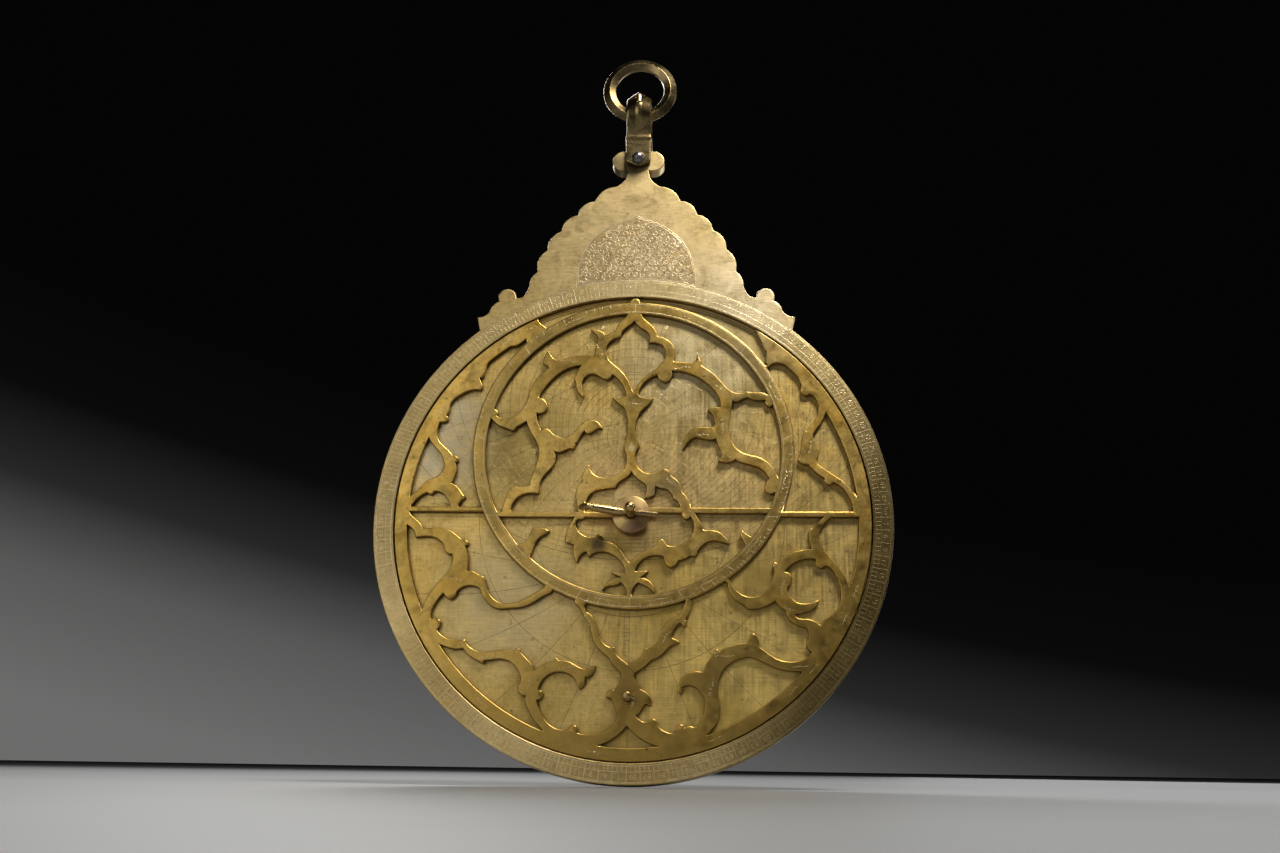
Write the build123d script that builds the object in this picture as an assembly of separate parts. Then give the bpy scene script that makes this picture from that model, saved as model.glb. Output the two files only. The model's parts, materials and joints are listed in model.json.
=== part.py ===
from build123d import *
import math
import os

# Planispheric astrolabe. Plane shapes are drawn face-on with X to the right, the second
# coordinate up and the pole of the disc at (0, 0). They are stood up so that the front looks
# along -Y, then everything is moved so that the origin is the centre of the suspension ring.

# Mater
LIMB_R = 90.0
WELL_R = 83.03
FRONT_Y = -2.5
FLOOR_Y = 4.22
BACK_Y = 6.2
THRONE_T = 5.0
TAB_W = 5.0
TAB_R = 85.2

# Climate plates
PLATE_R = 82.85
PLATE_T = 0.75
PLATE_PITCH = 0.77
PLATE_FRONT_Y = -0.40
PLATE_COUNT = 6

# Rete
RETE_R = 82.6
RETE_INNER_R = 78.2
RETE_FRONT_Y = -2.25
RETE_T = 1.8
ECLIPTIC_Z = 24.2
ECLIPTIC_R = 56.8
ECLIPTIC_INNER_R = 52.2
BAR_W = 1.8
HUB_R = 6.0
KNOB_Z = -62.0
KNOB_R = 1.35
KNOB_H = 5.8
KNOB_TENON_R = 0.8

# Pole pin, washer and horse
PIN_R = 1.7
PIN_HOLE_R = 1.75
PIN_BALL_R = 1.85
PIN_TIP_Y = -15.3
PIN_HEAD_R = 5.2
PIN_TURN = 4.5
WASHER_R = 6.6
WASHER_T = 2.9
WASHER_RIM_T = 2.3
WASHER_TOP_R = 3.4
WASHER_Y = -2.30
HORSE_Y = -5.26
HORSE_SHANK_W = 1.6
HORSE_NECK_W = 2.8
SLOT_H = 1.72
SLOT_DEPTH = 2.95

# Alidade
ALIDADE_Y = 6.25
ALIDADE_T = 2.2
ALIDADE_HALF = 83.0
ALIDADE_W = 9.0
VANE_Z = 62.0
VANE_W = 15.0
VANE_H = 14.0
VANE_T = 1.5
VANE_RIVET_R = 0.8

# Throne tip, shackle and suspension ring
RIVET_Z = 140.3
RIVET_R = 1.2
RIVET_HEAD_R = 2.35
SHACKLE_W = 9.4
LEAF_Y = 4.85
SLOT_Y = 2.75
BRIDGE_Z = 148.5
WIRE_Z = 160.8
WIRE_HOLE_R = 4.45
BARREL_R = 7.0
BARREL_RIDGE_R = 9.8
RING_R = 11.9
RING_HALF = 2.5
RING_DEPTH = 3.6
RING_LAND = 1.2
RING_Z = WIRE_Z + RING_R


def stand(shape):
    """Turn a face-on shape upright: drawn Y becomes Z, drawn +Z becomes -Y."""
    return Rot(90, 0, 0) * shape


def slab(face, y_front, thickness):
    """Upright plate of a face-on outline, from y_front backwards."""
    return stand(Pos(0, 0, -(y_front + thickness)) * extrude(face, thickness))


def rod(x, z, radius, y0, y1):
    """Round bar along Y between two depths."""
    return Pos(x, (y0 + y1) / 2, z) * Rot(90, 0, 0) * Cylinder(radius, y1 - y0)


def polar(radius, angle, centre_z=0.0):
    a = math.radians(angle)
    return (radius * math.cos(a), centre_z + radius * math.sin(a))


def ring_run(radius, a0, a1, centre_z=0.0):
    """Points along a circle, for the part of an opening that hides under a ring."""
    n = max(2, int(abs(a1 - a0) / 9) + 1)
    return tuple(polar(radius, a0 + (a1 - a0) * i / n, centre_z) for i in range(n + 1))


def rim(a0, a1):
    return ring_run((RETE_R + RETE_INNER_R) / 2, a0, a1)


def ecl(a0, a1):
    return ring_run((ECLIPTIC_R + ECLIPTIC_INNER_R) / 2, a0, a1, ECLIPTIC_Z)


def outline(*runs):
    """Closed face. A list is a smooth curve on from the last point, a tuple is straight runs."""
    edges = []
    first = runs[0][0]
    here = first
    for k, run in enumerate(runs):
        points = list(run)
        if k == 0:
            points = points[1:]
        if isinstance(run, tuple):
            for p in points:
                edges.append(Line(here, p))
                here = p
        else:
            if len(points) == 1:
                edges.append(Line(here, points[0]))
            else:
                edges.append(Spline(here, *points))
            here = points[-1]
    if math.dist(here, first) > 1e-6:
        edges.append(Line(here, first))
    return make_face(Wire(edges))


def outer_gaps():
    """Openings between the Capricorn ring and the ecliptic ring."""
    gaps = []
    # Crescent under the first arm, lower left.
    gaps.append(outline(
        [(-78.9, -3.2), (-76.2, -5.0), (-75.1, -6.7), (-74.9, -8.0)],
        [(-72.2, -7.7), (-69.4, -7.7), (-66.8, -8.7), (-65.0, -10.4), (-64.4, -11.9)],
        [(-64.0, -13.1), (-63.0, -13.9), (-61.7, -13.9)],
        [(-61.3, -15.5), (-61.6, -17.6), (-62.9, -20.4), (-65.5, -23.5), (-68.0, -27.0),
         (-70.0, -31.0), (-70.8, -34.3)],
        rim(203, 184),
    ))
    # Teardrop in the left band.
    gaps.append(outline(
        [(-73.0, 29.7), (-71.8, 26.7), (-69.3, 23.9), (-67.3, 21.0), (-66.5, 17.8),
         (-67.3, 15.3), (-69.3, 13.7), (-71.3, 13.0)],
        [(-73.5, 11.2), (-75.8, 8.7), (-78.3, 6.0)],
        rim(175.5, 159),
    ))
    # Half-round window above the bar, left.
    gaps.append(outline(
        [(-77.2, 3.2), (-75.8, 5.3), (-73.8, 7.2), (-71.8, 8.2)],
        [(-71.2, 7.6), (-70.4, 7.6), (-69.6, 8.5)],
        [(-67.5, 8.4), (-65.3, 6.8), (-64.1, 5.0), (-63.5, 2.8)],
        ((-63.5, 2.1), (-77.6, 2.1)),
    ))
    # Left band to the ecliptic ring, above the bar.
    gaps.append(outline(
        [(-39.8, 66.9), (-41.6, 65.0), (-43.5, 63.9), (-46.0, 63.6), (-48.5, 62.2),
         (-51.3, 59.8), (-53.2, 57.0), (-53.8, 54.5), (-54.3, 52.4)],
        [(-55.0, 51.6), (-56.0, 51.3)],
        [(-55.4, 49.9), (-54.7, 48.3), (-55.2, 46.6)],
        [(-57.5, 46.8), (-60.5, 46.0), (-63.3, 44.3), (-65.4, 42.3), (-66.1, 40.2),
         (-66.2, 38.3), (-67.2, 36.9)],
        [(-66.4, 36.1), (-66.4, 35.1), (-67.4, 34.5), (-69.2, 34.4)],
        [(-69.7, 32.6), (-69.9, 30.3), (-69.5, 28.2), (-67.6, 25.7), (-65.2, 23.5), (-63.7, 21.7)],
        [(-62.6, 21.5), (-61.7, 20.7), (-61.8, 19.7), (-62.6, 19.4)],
        [(-62.1, 17.5), (-62.0, 15.7), (-62.5, 13.8), (-63.7, 11.6)],
        [(-61.8, 10.6), (-60.0, 8.6), (-58.2, 6.4)],
        [(-59.4, 5.6), (-60.3, 4.3), (-60.5, 2.8)],
        ((-60.5, 2.1), (-50.0, 2.1)),
        ecl(200, 136),
    ))
    # Small eye where the left band meets the ecliptic ring.
    gaps.append(outline(
        [(-35.8, 73.2), (-36.2, 72.4), (-37.4, 71.1), (-38.9, 69.7)],
        [(-38.6, 71.2), (-37.3, 72.6), (-35.8, 73.2)],
    ))
    # Open top, where the Capricorn ring is left out.
    gaps.append(outline(
        [(-35.9, 74.6), (-35.2, 73.2), (-34.0, 72.0), (-32.6, 71.0)],
        ecl(124.5, 35),
        ((47.9, 56.2),),
        [(47.3, 57.8), (47.4, 59.8), (47.6, 61.6)],
        [(46.6, 63.3), (45.6, 66.2), (44.3, 69.0), (43.0, 71.3)],
        ((60.0, 90.0), (-36.0, 90.0)),
    ))
    # Long triangle in the right band.
    gaps.append(outline(
        [(68.3, 39.3), (67.4, 36.2), (66.0, 33.7), (64.3, 31.6), (63.5, 30.2), (63.5, 28.4)],
        [(64.3, 26.6), (65.4, 24.9), (65.3, 22.8), (64.5, 21.4)],
        [(64.6, 19.6), (67.0, 17.3), (70.0, 15.2), (73.5, 12.6), (76.0, 9.8), (77.8, 7.3)],
        rim(6, 29),
    ))
    # Right band to the ecliptic ring, above the bar.
    gaps.append(outline(
        [(48.5, 55.9), (50.0, 57.0), (52.3, 57.1), (55.0, 55.9), (57.3, 53.8), (58.7, 51.5),
         (59.3, 49.8), (59.9, 48.4)],
        [(59.4, 46.8), (60.0, 45.3), (61.3, 44.8), (62.6, 45.3)],
        [(64.2, 44.3), (65.3, 42.2), (65.6, 39.7), (65.2, 37.4), (64.2, 35.5), (62.6, 33.3),
         (61.2, 31.5)],
        [(60.2, 31.0), (59.8, 29.3), (59.4, 26.5), (58.9, 23.3), (57.9, 20.9)],
        [(58.8, 19.6), (60.2, 19.2), (61.5, 19.0)],
        [(63.2, 16.8), (65.3, 15.1), (67.0, 14.0)],
        [(67.1, 12.4), (68.2, 11.8), (69.8, 12.7)],
        [(72.2, 11.3), (74.2, 8.8), (75.6, 6.3), (76.3, 3.6), (76.4, 1.5)],
        ((76.4, 1.0), (49.5, 1.0)),
        ecl(-24, 33),
    ))
    # Under the bar on the right, down to the round scroll.
    gaps.append(outline(
        [(66.6, 1.0), (66.2, 0.2), (64.8, -1.3), (63.2, -3.0), (62.3, -4.1)],
        [(61.2, -4.4), (61.0, -5.8)],
        [(61.0, -7.5), (61.2, -9.3), (61.8, -11.3)],
        [(58.5, -11.7), (55.5, -12.5), (53.0, -14.2), (51.2, -16.2), (50.4, -17.3)],
        [(49.8, -16.2), (48.8, -16.0), (48.4, -17.0), (48.9, -18.2)],
        [(48.9, -19.5), (48.2, -22.0), (46.8, -24.9), (44.5, -27.1), (41.5, -28.0),
         (38.5, -27.5), (35.8, -25.5), (34.0, -22.8)],
        ecl(-53, -26),
        ((49.5, 1.0),),
    ))
    # Sliver inside the Capricorn ring, right.
    gaps.append(outline(
        [(68.5, -0.3), (66.4, -2.0), (65.0, -4.3), (64.6, -7.2), (65.1, -10.0), (67.0, -13.1),
         (69.7, -16.2), (71.8, -19.2), (73.4, -22.3), (74.3, -25.0)],
        rim(-18, -1.5),
        ((79.0, 0.9), (68.5, 0.9)),
    ))
    # Round scroll on the right, open between its two leaves.
    gaps.append(outline(
        [(52.4, -19.3), (54.5, -16.9), (57.0, -15.4), (60.0, -14.6), (63.2, -14.9)],
        [(63.0, -16.6), (63.9, -17.7), (65.2, -17.7), (66.2, -16.9)],
        [(67.9, -17.9), (69.8, -20.6), (70.9, -23.7), (71.2, -27.0), (70.6, -30.2),
         (69.2, -32.7), (67.0, -34.5), (64.9, -35.8), (64.1, -37.6)],
        [(62.5, -36.3), (60.0, -35.3), (57.3, -35.2), (55.3, -33.9)],
        [(57.8, -33.2), (60.8, -32.3), (62.8, -30.8), (63.9, -28.7)],
        [(61.8, -29.6), (59.5, -30.1), (57.0, -29.9), (54.9, -28.6), (53.4, -26.4), (53.3, -24.4)],
        [(54.5, -23.0), (54.9, -21.2), (54.0, -19.8), (52.4, -19.3)],
    ))
    # Lower right field.
    gaps.append(outline(
        [(33.1, -23.4), (33.7, -26.2), (35.2, -28.6), (37.2, -30.1), (38.7, -30.7)],
        [(39.8, -31.9), (41.5, -32.1), (43.5, -31.8), (46.3, -30.8), (49.0, -29.2)],
        [(50.4, -31.0), (52.5, -32.5)],
        [(52.9, -34.4), (54.2, -36.2), (56.5, -37.5), (58.8, -38.0)],
        [(60.0, -39.8), (60.0, -41.5), (59.3, -43.3), (59.6, -45.2), (60.9, -46.3)],
        [(59.0, -48.3), (56.5, -49.3), (53.0, -49.6), (49.5, -48.8), (46.3, -46.8), (43.3, -44.7)],
        [(43.4, -42.9), (42.6, -41.0), (41.4, -40.3), (40.3, -41.5), (39.3, -43.4)],
        [(36.3, -44.0), (33.0, -44.9), (30.2, -46.6)],
        [(29.4, -45.8), (28.4, -46.4), (28.2, -47.4)],
        [(26.6, -49.5), (25.4, -51.6), (24.9, -53.4)],
        [(22.5, -53.1), (20.0, -53.7), (18.0, -55.2), (16.6, -57.3), (16.3, -59.3), (17.2, -60.5)],
        [(18.0, -59.8), (17.9, -58.5)],
        [(19.5, -57.7), (21.7, -58.1), (24.0, -60.0), (25.4, -62.6), (25.3, -65.5),
         (24.5, -68.4), (23.2, -70.6), (21.8, -71.3)],
        [(20.2, -70.9), (18.8, -71.5)],
        [(17.6, -70.4), (16.3, -71.0), (15.3, -73.4)],
        [(12.7, -72.8), (10.8, -71.7), (9.8, -70.4)],
        [(9.4, -69.2), (8.6, -68.7), (7.4, -69.4)],
        [(5.3, -69.7), (3.7, -68.8), (2.7, -67.6)],
        [(4.2, -66.5), (5.0, -64.9), (6.4, -63.9)],
        [(7.2, -64.5), (7.9, -64.0)],
        [(7.6, -62.0), (6.3, -60.3), (4.2, -59.2)],
        [(3.2, -57.2), (2.2, -55.4), (2.4, -53.7)],
        [(4.6, -52.3), (6.3, -50.9), (7.4, -49.6)],
        [(9.3, -48.9), (11.2, -47.6), (12.8, -45.8), (14.3, -44.6), (17.0, -43.7)],
        [(15.8, -42.6), (14.4, -41.9), (14.6, -40.5), (15.3, -38.7), (16.5, -37.4)],
        [(17.4, -37.2), (18.4, -38.3), (19.1, -37.5), (18.9, -36.0)],
        [(19.8, -34.4), (20.7, -32.6), (21.0, -31.0), (20.6, -29.4)],
        ecl(-69, -56),
    ))
    # Crescent inside the Capricorn ring, lower right.
    gaps.append(outline(
        [(57.3, -52.8), (54.0, -52.7), (50.3, -52.1), (46.8, -50.8), (43.3, -49.1), (40.3, -48.2),
         (37.6, -48.5), (34.8, -49.7), (32.3, -51.6), (30.7, -54.0)],
        [(29.9, -57.0), (29.8, -61.0), (30.3, -65.0), (30.2, -67.8), (28.8, -70.5), (26.0, -73.7)],
        rim(-70, -43.5),
    ))
    # Window over the foot, bottom centre.
    gaps.append(outline(
        [(-10.3, -77.7), (-6.5, -76.3), (-3.0, -74.0), (-0.2, -71.0)],
        [(2.5, -73.7), (6.0, -76.0), (10.2, -77.5)],
        rim(-82.3, -97.5),
    ))
    # Crescent inside the Capricorn ring, lower left.
    gaps.append(outline(
        [(-63.9, -45.0), (-61.5, -45.9), (-58.7, -46.5), (-55.8, -46.2)],
        [(-54.5, -47.9), (-52.2, -49.6), (-49.7, -50.7)],
        [(-49.0, -51.3), (-48.3, -50.2)],
        [(-46.0, -50.0), (-43.0, -49.7), (-40.3, -50.3), (-37.9, -52.0), (-36.4, -54.3),
         (-35.8, -56.8), (-36.1, -58.0)],
        [(-36.6, -59.6), (-36.0, -61.1), (-34.3, -61.8)],
        [(-33.9, -63.8), (-32.6, -66.9), (-30.5, -70.0), (-28.0, -72.6), (-27.0, -74.0)],
        rim(249, 216),
    ))
    # Lower left field.
    gaps.append(outline(
        [(-27.2, -27.2), (-30.0, -28.6), (-33.5, -30.9), (-37.0, -32.2), (-40.5, -32.5),
         (-44.0, -32.8), (-47.0, -31.9), (-49.3, -29.9), (-50.7, -27.4)],
        [(-52.3, -25.3), (-54.8, -24.8), (-57.3, -25.4), (-59.1, -26.9)],
        [(-59.8, -28.8), (-61.2, -29.6), (-62.7, -28.9), (-63.7, -27.5)],
        [(-65.2, -29.3), (-66.5, -31.5), (-67.3, -33.7), (-67.2, -36.6)],
        [(-65.5, -36.2), (-64.2, -37.0), (-64.0, -38.2), (-65.1, -39.9)],
        [(-63.8, -41.6), (-61.0, -43.1), (-58.0, -43.6), (-55.3, -43.3)],
        [(-54.2, -45.2), (-52.2, -46.6), (-49.6, -47.4), (-46.0, -47.1), (-42.0, -46.6),
         (-38.3, -47.0)],
        [(-37.1, -46.1), (-36.3, -47.3)],
        [(-34.5, -49.1), (-32.7, -51.0), (-31.5, -53.6)],
        [(-29.5, -52.1), (-27.0, -50.7), (-24.8, -50.2)],
        [(-24.4, -49.1), (-23.3, -50.0)],
        [(-20.6, -50.1), (-17.8, -51.4), (-15.0, -52.6), (-12.6, -52.3), (-11.0, -51.4)],
        [(-11.2, -53.2), (-12.5, -54.9), (-14.4, -55.4)],
        [(-14.3, -57.0), (-15.2, -58.8), (-16.4, -59.2)],
        [(-17.0, -57.6), (-18.2, -55.6), (-20.3, -54.2), (-22.7, -53.7), (-25.3, -54.1),
         (-27.6, -55.5), (-29.2, -57.7), (-29.9, -60.0)],
        [(-28.7, -60.0), (-28.1, -61.2), (-28.7, -62.6), (-30.2, -63.0)],
        [(-29.4, -65.5), (-27.7, -68.7), (-25.3, -71.2), (-22.7, -72.4), (-19.3, -72.3)],
        [(-18.6, -71.4), (-17.2, -71.1), (-16.3, -72.0), (-16.7, -73.5)],
        [(-14.0, -74.0), (-11.0, -73.9), (-8.0, -73.1), (-5.5, -71.6), (-4.0, -69.7), (-3.2, -67.4)],
        [(-4.2, -65.7), (-4.9, -63.7), (-5.8, -62.2)],
        [(-7.2, -61.8), (-7.0, -60.3), (-5.6, -59.4), (-4.5, -59.5)],
        [(-3.5, -58.0), (-2.5, -56.2), (-2.3, -54.4)],
        [(-4.0, -52.6), (-5.7, -50.9), (-6.6, -49.0)],
        [(-8.6, -47.4), (-10.8, -45.2), (-12.2, -42.7), (-12.9, -39.8)],
        [(-13.6, -37.6), (-15.2, -35.3), (-16.2, -33.3), (-17.4, -31.7), (-18.8, -30.4)],
        ecl(250, 243),
    ))
    # Between the two arms of the bottom fork.
    gaps.append(outline(
        [(-15.3, -31.6), (-14.6, -33.6)],
        [(-13.1, -34.4), (-11.8, -36.3), (-10.8, -39.0), (-9.9, -41.7), (-8.3, -44.2),
         (-6.6, -45.3), (-4.9, -45.3)],
        [(-4.5, -47.2), (-3.0, -48.9), (-1.2, -50.2), (-0.2, -51.2)],
        [(0.8, -50.1), (2.6, -49.6), (4.0, -48.3), (4.7, -46.8), (5.3, -45.6)],
        [(7.3, -45.3), (9.2, -43.8), (10.2, -41.3), (11.3, -38.6), (13.0, -36.4), (15.0, -35.4),
         (16.8, -35.0)],
        [(17.3, -33.3), (18.2, -31.4), (18.9, -29.4)],
        ecl(-71.5, -104.5),
    ))
    # Under the bar on the left, over the first arm.
    gaps.append(outline(
        [(-77.8, 1.7), (-76.6, -0.3), (-74.6, -2.0), (-73.2, -3.5), (-72.4, -5.1)],
        [(-70.0, -4.7), (-66.8, -4.6), (-64.0, -5.1), (-61.5, -6.4), (-59.4, -8.1), (-58.2, -8.9)],
        [(-56.9, -9.0), (-56.2, -10.2), (-57.2, -10.9)],
        [(-56.5, -12.8), (-55.9, -15.2), (-55.8, -17.6), (-56.1, -19.9)],
        [(-53.8, -20.0), (-51.9, -21.1), (-50.6, -21.5)],
        [(-49.8, -22.7), (-49.2, -24.6), (-48.3, -27.0), (-46.6, -29.2), (-44.3, -30.6),
         (-41.5, -30.9), (-38.0, -30.3), (-34.5, -28.6), (-31.5, -26.7), (-29.2, -25.6)],
        ecl(238, 205),
        ((-50.0, 2.0),),
    ))
    return gaps


def inner_gaps():
    """Openings inside the ecliptic ring."""
    gaps = []
    # Upper left field.
    gaps.append(outline(
        [(-2.3, 77.2), (-3.2, 75.6), (-5.0, 73.7), (-6.3, 72.0), (-7.0, 70.2)],
        [(-8.6, 69.2), (-10.7, 67.9)],
        [(-11.8, 69.2), (-13.6, 70.1), (-16.2, 70.2)],
        [(-14.9, 69.0), (-13.6, 67.3), (-13.5, 65.6)],
        [(-14.1, 63.6), (-14.2, 61.6), (-14.6, 59.9)],
        [(-17.0, 60.1), (-20.3, 60.0), (-23.5, 59.3), (-26.5, 58.3), (-28.8, 58.5),
         (-30.3, 59.8), (-31.2, 61.9)],
        [(-32.4, 60.3), (-32.9, 58.3), (-33.2, 57.0)],
        [(-32.0, 56.2), (-30.9, 55.1)],
        [(-32.8, 53.7), (-34.9, 51.4), (-36.5, 48.7), (-37.6, 45.8), (-38.1, 43.0),
         (-39.2, 40.2), (-41.2, 37.6), (-43.7, 36.0), (-46.5, 35.7), (-48.9, 36.7)],
        [(-48.5, 37.8), (-49.3, 39.1), (-51.2, 39.5)],
        ecl(162, 93.5),
    ))
    # Trefoil under the finial.
    gaps.append(outline(
        [(-0.2, 73.7), (-2.2, 71.9), (-4.2, 70.1), (-5.0, 67.6)],
        [(-7.2, 66.8), (-9.2, 65.3), (-10.2, 63.0), (-10.1, 60.5), (-9.3, 58.2)],
        [(-7.2, 56.3), (-4.7, 54.0), (-2.4, 50.8), (-0.9, 47.6), (-0.2, 45.6)],
        [(0.8, 47.8), (2.4, 50.2), (5.0, 52.7), (7.7, 54.8), (9.6, 57.0)],
        [(11.0, 59.3), (11.2, 61.5), (10.2, 63.8), (8.0, 64.9), (5.0, 65.0)],
        [(5.4, 67.0), (4.9, 68.7), (3.4, 70.1), (1.2, 71.7), (-0.2, 73.7)],
    ))
    # Upper right field.
    gaps.append(outline(
        [(2.0, 77.2), (2.5, 75.6), (4.2, 73.5), (6.1, 71.8), (7.5, 69.8), (8.3, 67.4)],
        [(10.6, 66.9), (12.6, 65.5), (14.2, 63.3), (14.7, 60.8), (14.2, 57.6)],
        [(16.3, 57.4), (19.0, 57.2), (21.6, 57.5), (22.5, 58.6), (22.4, 60.0)],
        [(23.6, 58.8), (24.3, 57.2), (24.4, 55.9)],
        [(26.0, 54.8), (28.5, 52.9), (31.0, 50.1), (33.3, 47.4), (35.6, 45.8), (38.0, 45.4),
         (40.4, 46.2)],
        [(43.0, 45.8), (46.0, 45.6), (47.7, 44.9)],
        ecl(24.5, 87),
    ))
    # Right of the right-hand trunk.
    gaps.append(outline(
        [(35.2, 42.5), (37.5, 42.6), (39.3, 43.6), (40.6, 44.0)],
        [(42.3, 43.2), (44.6, 42.9), (47.0, 43.0)],
        [(46.9, 41.5), (48.0, 40.5), (49.4, 41.2)],
        ecl(18, -10),
        ((50.9, 14.0),),
        [(49.5, 17.0), (47.6, 19.4), (45.2, 21.1), (42.0, 22.1), (38.9, 23.0), (36.3, 25.0),
         (34.6, 27.7), (33.9, 30.5), (33.9, 34.0), (34.4, 37.5), (34.9, 40.3), (35.2, 42.5)],
    ))
    # Right field, between the stem and the right-hand trunk.
    gaps.append(outline(
        [(1.7, 44.6), (2.0, 46.5), (3.5, 49.3), (5.8, 51.4), (8.4, 52.5)],
        [(8.9, 51.1), (10.0, 50.1), (11.4, 49.8), (12.9, 50.5), (13.7, 52.1), (13.2, 54.0)],
        [(16.0, 54.1), (19.4, 53.3), (23.0, 51.6), (26.4, 49.0), (29.2, 45.9), (30.6, 43.0),
         (31.0, 40.3)],
        [(29.3, 40.1), (27.8, 39.9), (26.3, 38.9)],
        [(27.6, 38.0), (28.5, 36.4), (28.9, 34.2)],
        [(28.4, 33.0), (25.5, 32.6), (22.6, 32.5), (20.3, 31.3), (18.8, 29.4), (18.0, 27.0),
         (17.7, 24.3)],
        [(19.0, 26.4), (20.3, 28.0), (22.3, 28.9), (24.3, 28.5), (26.6, 28.0), (29.3, 28.4)],
        [(29.7, 26.7), (30.4, 25.0), (31.4, 22.9)],
        [(30.7, 21.2), (30.0, 20.1)],
        [(31.8, 19.8), (34.0, 19.8), (36.0, 20.8)],
        [(38.5, 19.6), (41.6, 18.8), (44.3, 17.8), (46.4, 16.0), (47.7, 13.8)],
        [(46.7, 12.4), (46.1, 10.5), (46.9, 8.7), (48.3, 8.2), (49.6, 8.7)],
        ecl(-18, -23),
        ((49.0, 2.1), (20.9, 2.1)),
        [(20.6, 3.2), (19.9, 5.5), (18.9, 7.2), (17.6, 8.5)],
        [(17.2, 10.3), (16.4, 12.2), (15.0, 13.6), (13.4, 14.7)],
        [(12.9, 16.2), (11.7, 17.1), (10.2, 16.7)],
        [(8.4, 15.7), (6.2, 15.4), (4.0, 15.9), (2.2, 17.4), (1.1, 19.6), (0.9, 22.0)],
        [(1.4, 24.0), (2.4, 25.3)],
        [(1.6, 27.5), (0.9, 30.0), (0.8, 33.0), (1.5, 36.0), (2.9, 38.9)],
        [(4.3, 40.2), (5.8, 41.7), (7.0, 43.6)],
        [(4.5, 43.5), (1.7, 44.6)],
    ))
    # Left field, between the stem and the left-hand trunk.
    gaps.append(outline(
        [(-2.8, 44.4), (-3.2, 46.6), (-4.3, 49.0), (-6.1, 51.3), (-8.0, 52.7)],
        [(-8.7, 51.3), (-10.2, 50.8), (-12.0, 51.5), (-14.0, 52.7), (-16.0, 52.8),
         (-17.8, 51.6), (-18.7, 49.5), (-18.5, 46.8), (-18.0, 43.7)],
        [(-19.5, 45.2), (-20.6, 47.2), (-20.9, 49.5)],
        [(-21.8, 51.0)],
        [(-20.9, 52.5), (-20.3, 54.3), (-19.0, 56.3)],
        [(-22.0, 55.7), (-25.2, 54.4), (-28.4, 52.0), (-31.2, 48.8), (-33.2, 45.6), (-34.2, 43.6)],
        [(-32.7, 43.2), (-31.3, 41.7), (-30.8, 39.8), (-32.0, 38.3), (-34.7, 37.8)],
        [(-34.3, 35.3), (-33.5, 32.9), (-32.6, 31.0)],
        [(-31.8, 32.0), (-30.5, 31.9), (-28.7, 30.3), (-26.5, 28.9), (-24.0, 28.7),
         (-21.8, 29.8), (-20.0, 31.7), (-18.2, 33.9), (-16.0, 35.1), (-13.5, 35.0),
         (-11.8, 33.7), (-10.9, 31.9)],
        [(-13.2, 31.8), (-14.6, 30.7), (-16.2, 30.2), (-17.3, 31.2)],
        [(-18.5, 29.3), (-19.5, 27.4), (-20.5, 26.3)],
        [(-20.4, 25.3), (-21.2, 24.4)],
        [(-23.3, 24.3), (-25.0, 23.4), (-27.0, 23.2), (-27.9, 23.8)],
        [(-27.2, 21.8), (-27.2, 19.8), (-28.2, 17.8), (-30.2, 15.6), (-31.7, 13.3),
         (-32.4, 10.8), (-32.5, 8.0)],
        [(-34.5, 8.1), (-37.0, 8.0), (-39.3, 7.0), (-41.0, 5.2), (-41.8, 3.3), (-41.9, 1.2)],
        ((-41.9, 0.4), (-18.2, 0.4)),
        [(-18.6, 2.0), (-19.0, 4.2), (-19.5, 6.8), (-19.4, 9.2), (-18.4, 11.3), (-17.2, 12.4)],
        [(-17.4, 14.3), (-16.7, 16.3), (-15.3, 18.6)],
        [(-14.8, 16.8), (-13.4, 15.0), (-11.3, 14.0), (-8.7, 13.8), (-6.0, 14.6), (-3.9, 16.0),
         (-2.5, 18.0), (-2.0, 20.5), (-2.2, 22.5)],
        [(-2.9, 24.0), (-3.0, 25.8)],
        [(-2.5, 28.3), (-1.9, 31.0), (-1.8, 34.0), (-2.2, 36.8), (-3.3, 39.9)],
        [(-5.0, 41.2), (-7.7, 43.7)],
        [(-5.2, 43.5), (-2.8, 44.4)],
    ))
    # Left of the left-hand trunk.
    gaps.append(outline(
        [(-51.6, 36.6), (-49.9, 34.7), (-47.8, 33.0), (-45.5, 32.2), (-44.0, 31.6)],
        [(-43.1, 31.2), (-42.0, 31.8), (-41.5, 32.7)],
        [(-39.9, 33.6), (-38.1, 34.8)],
        [(-37.2, 32.2), (-35.7, 29.3), (-34.0, 26.6), (-33.3, 24.5), (-33.3, 21.5),
         (-33.9, 18.5), (-34.9, 15.3), (-35.9, 11.0)],
        [(-38.0, 10.5), (-39.8, 10.4), (-41.3, 10.7)],
        [(-42.7, 9.3), (-43.8, 7.3), (-44.4, 4.8), (-45.0, 2.6), (-45.2, 0.8)],
        ((-45.2, 0.4), (-48.7, 0.4)),
        ecl(205, 168),
    ))
    # Inside the hub scroll, above the bar.
    gaps.append(outline(
        [(-16.3, 1.2), (-16.0, 3.5), (-15.7, 5.6)],
        [(-14.6, 7.7), (-12.6, 9.2), (-10.0, 9.8), (-7.4, 10.1), (-5.6, 10.3)],
        [(-4.9, 12.0), (-2.6, 13.7), (-0.3, 16.2)],
        [(1.6, 13.8), (3.7, 12.2), (5.2, 10.8)],
        [(5.0, 8.8), (4.3, 6.5)],
        [(5.6, 6.6), (7.0, 7.2), (8.2, 7.7)],
        [(8.0, 9.3), (8.3, 10.9)],
        [(10.0, 10.1), (12.3, 9.6), (13.8, 8.2), (14.5, 6.2)],
        [(15.8, 5.4), (16.7, 4.0), (17.0, 2.3)],
        ((17.0, 2.1), (0.0, 2.1), (0.0, 0.4), (-16.3, 0.4)),
    ))
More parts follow.
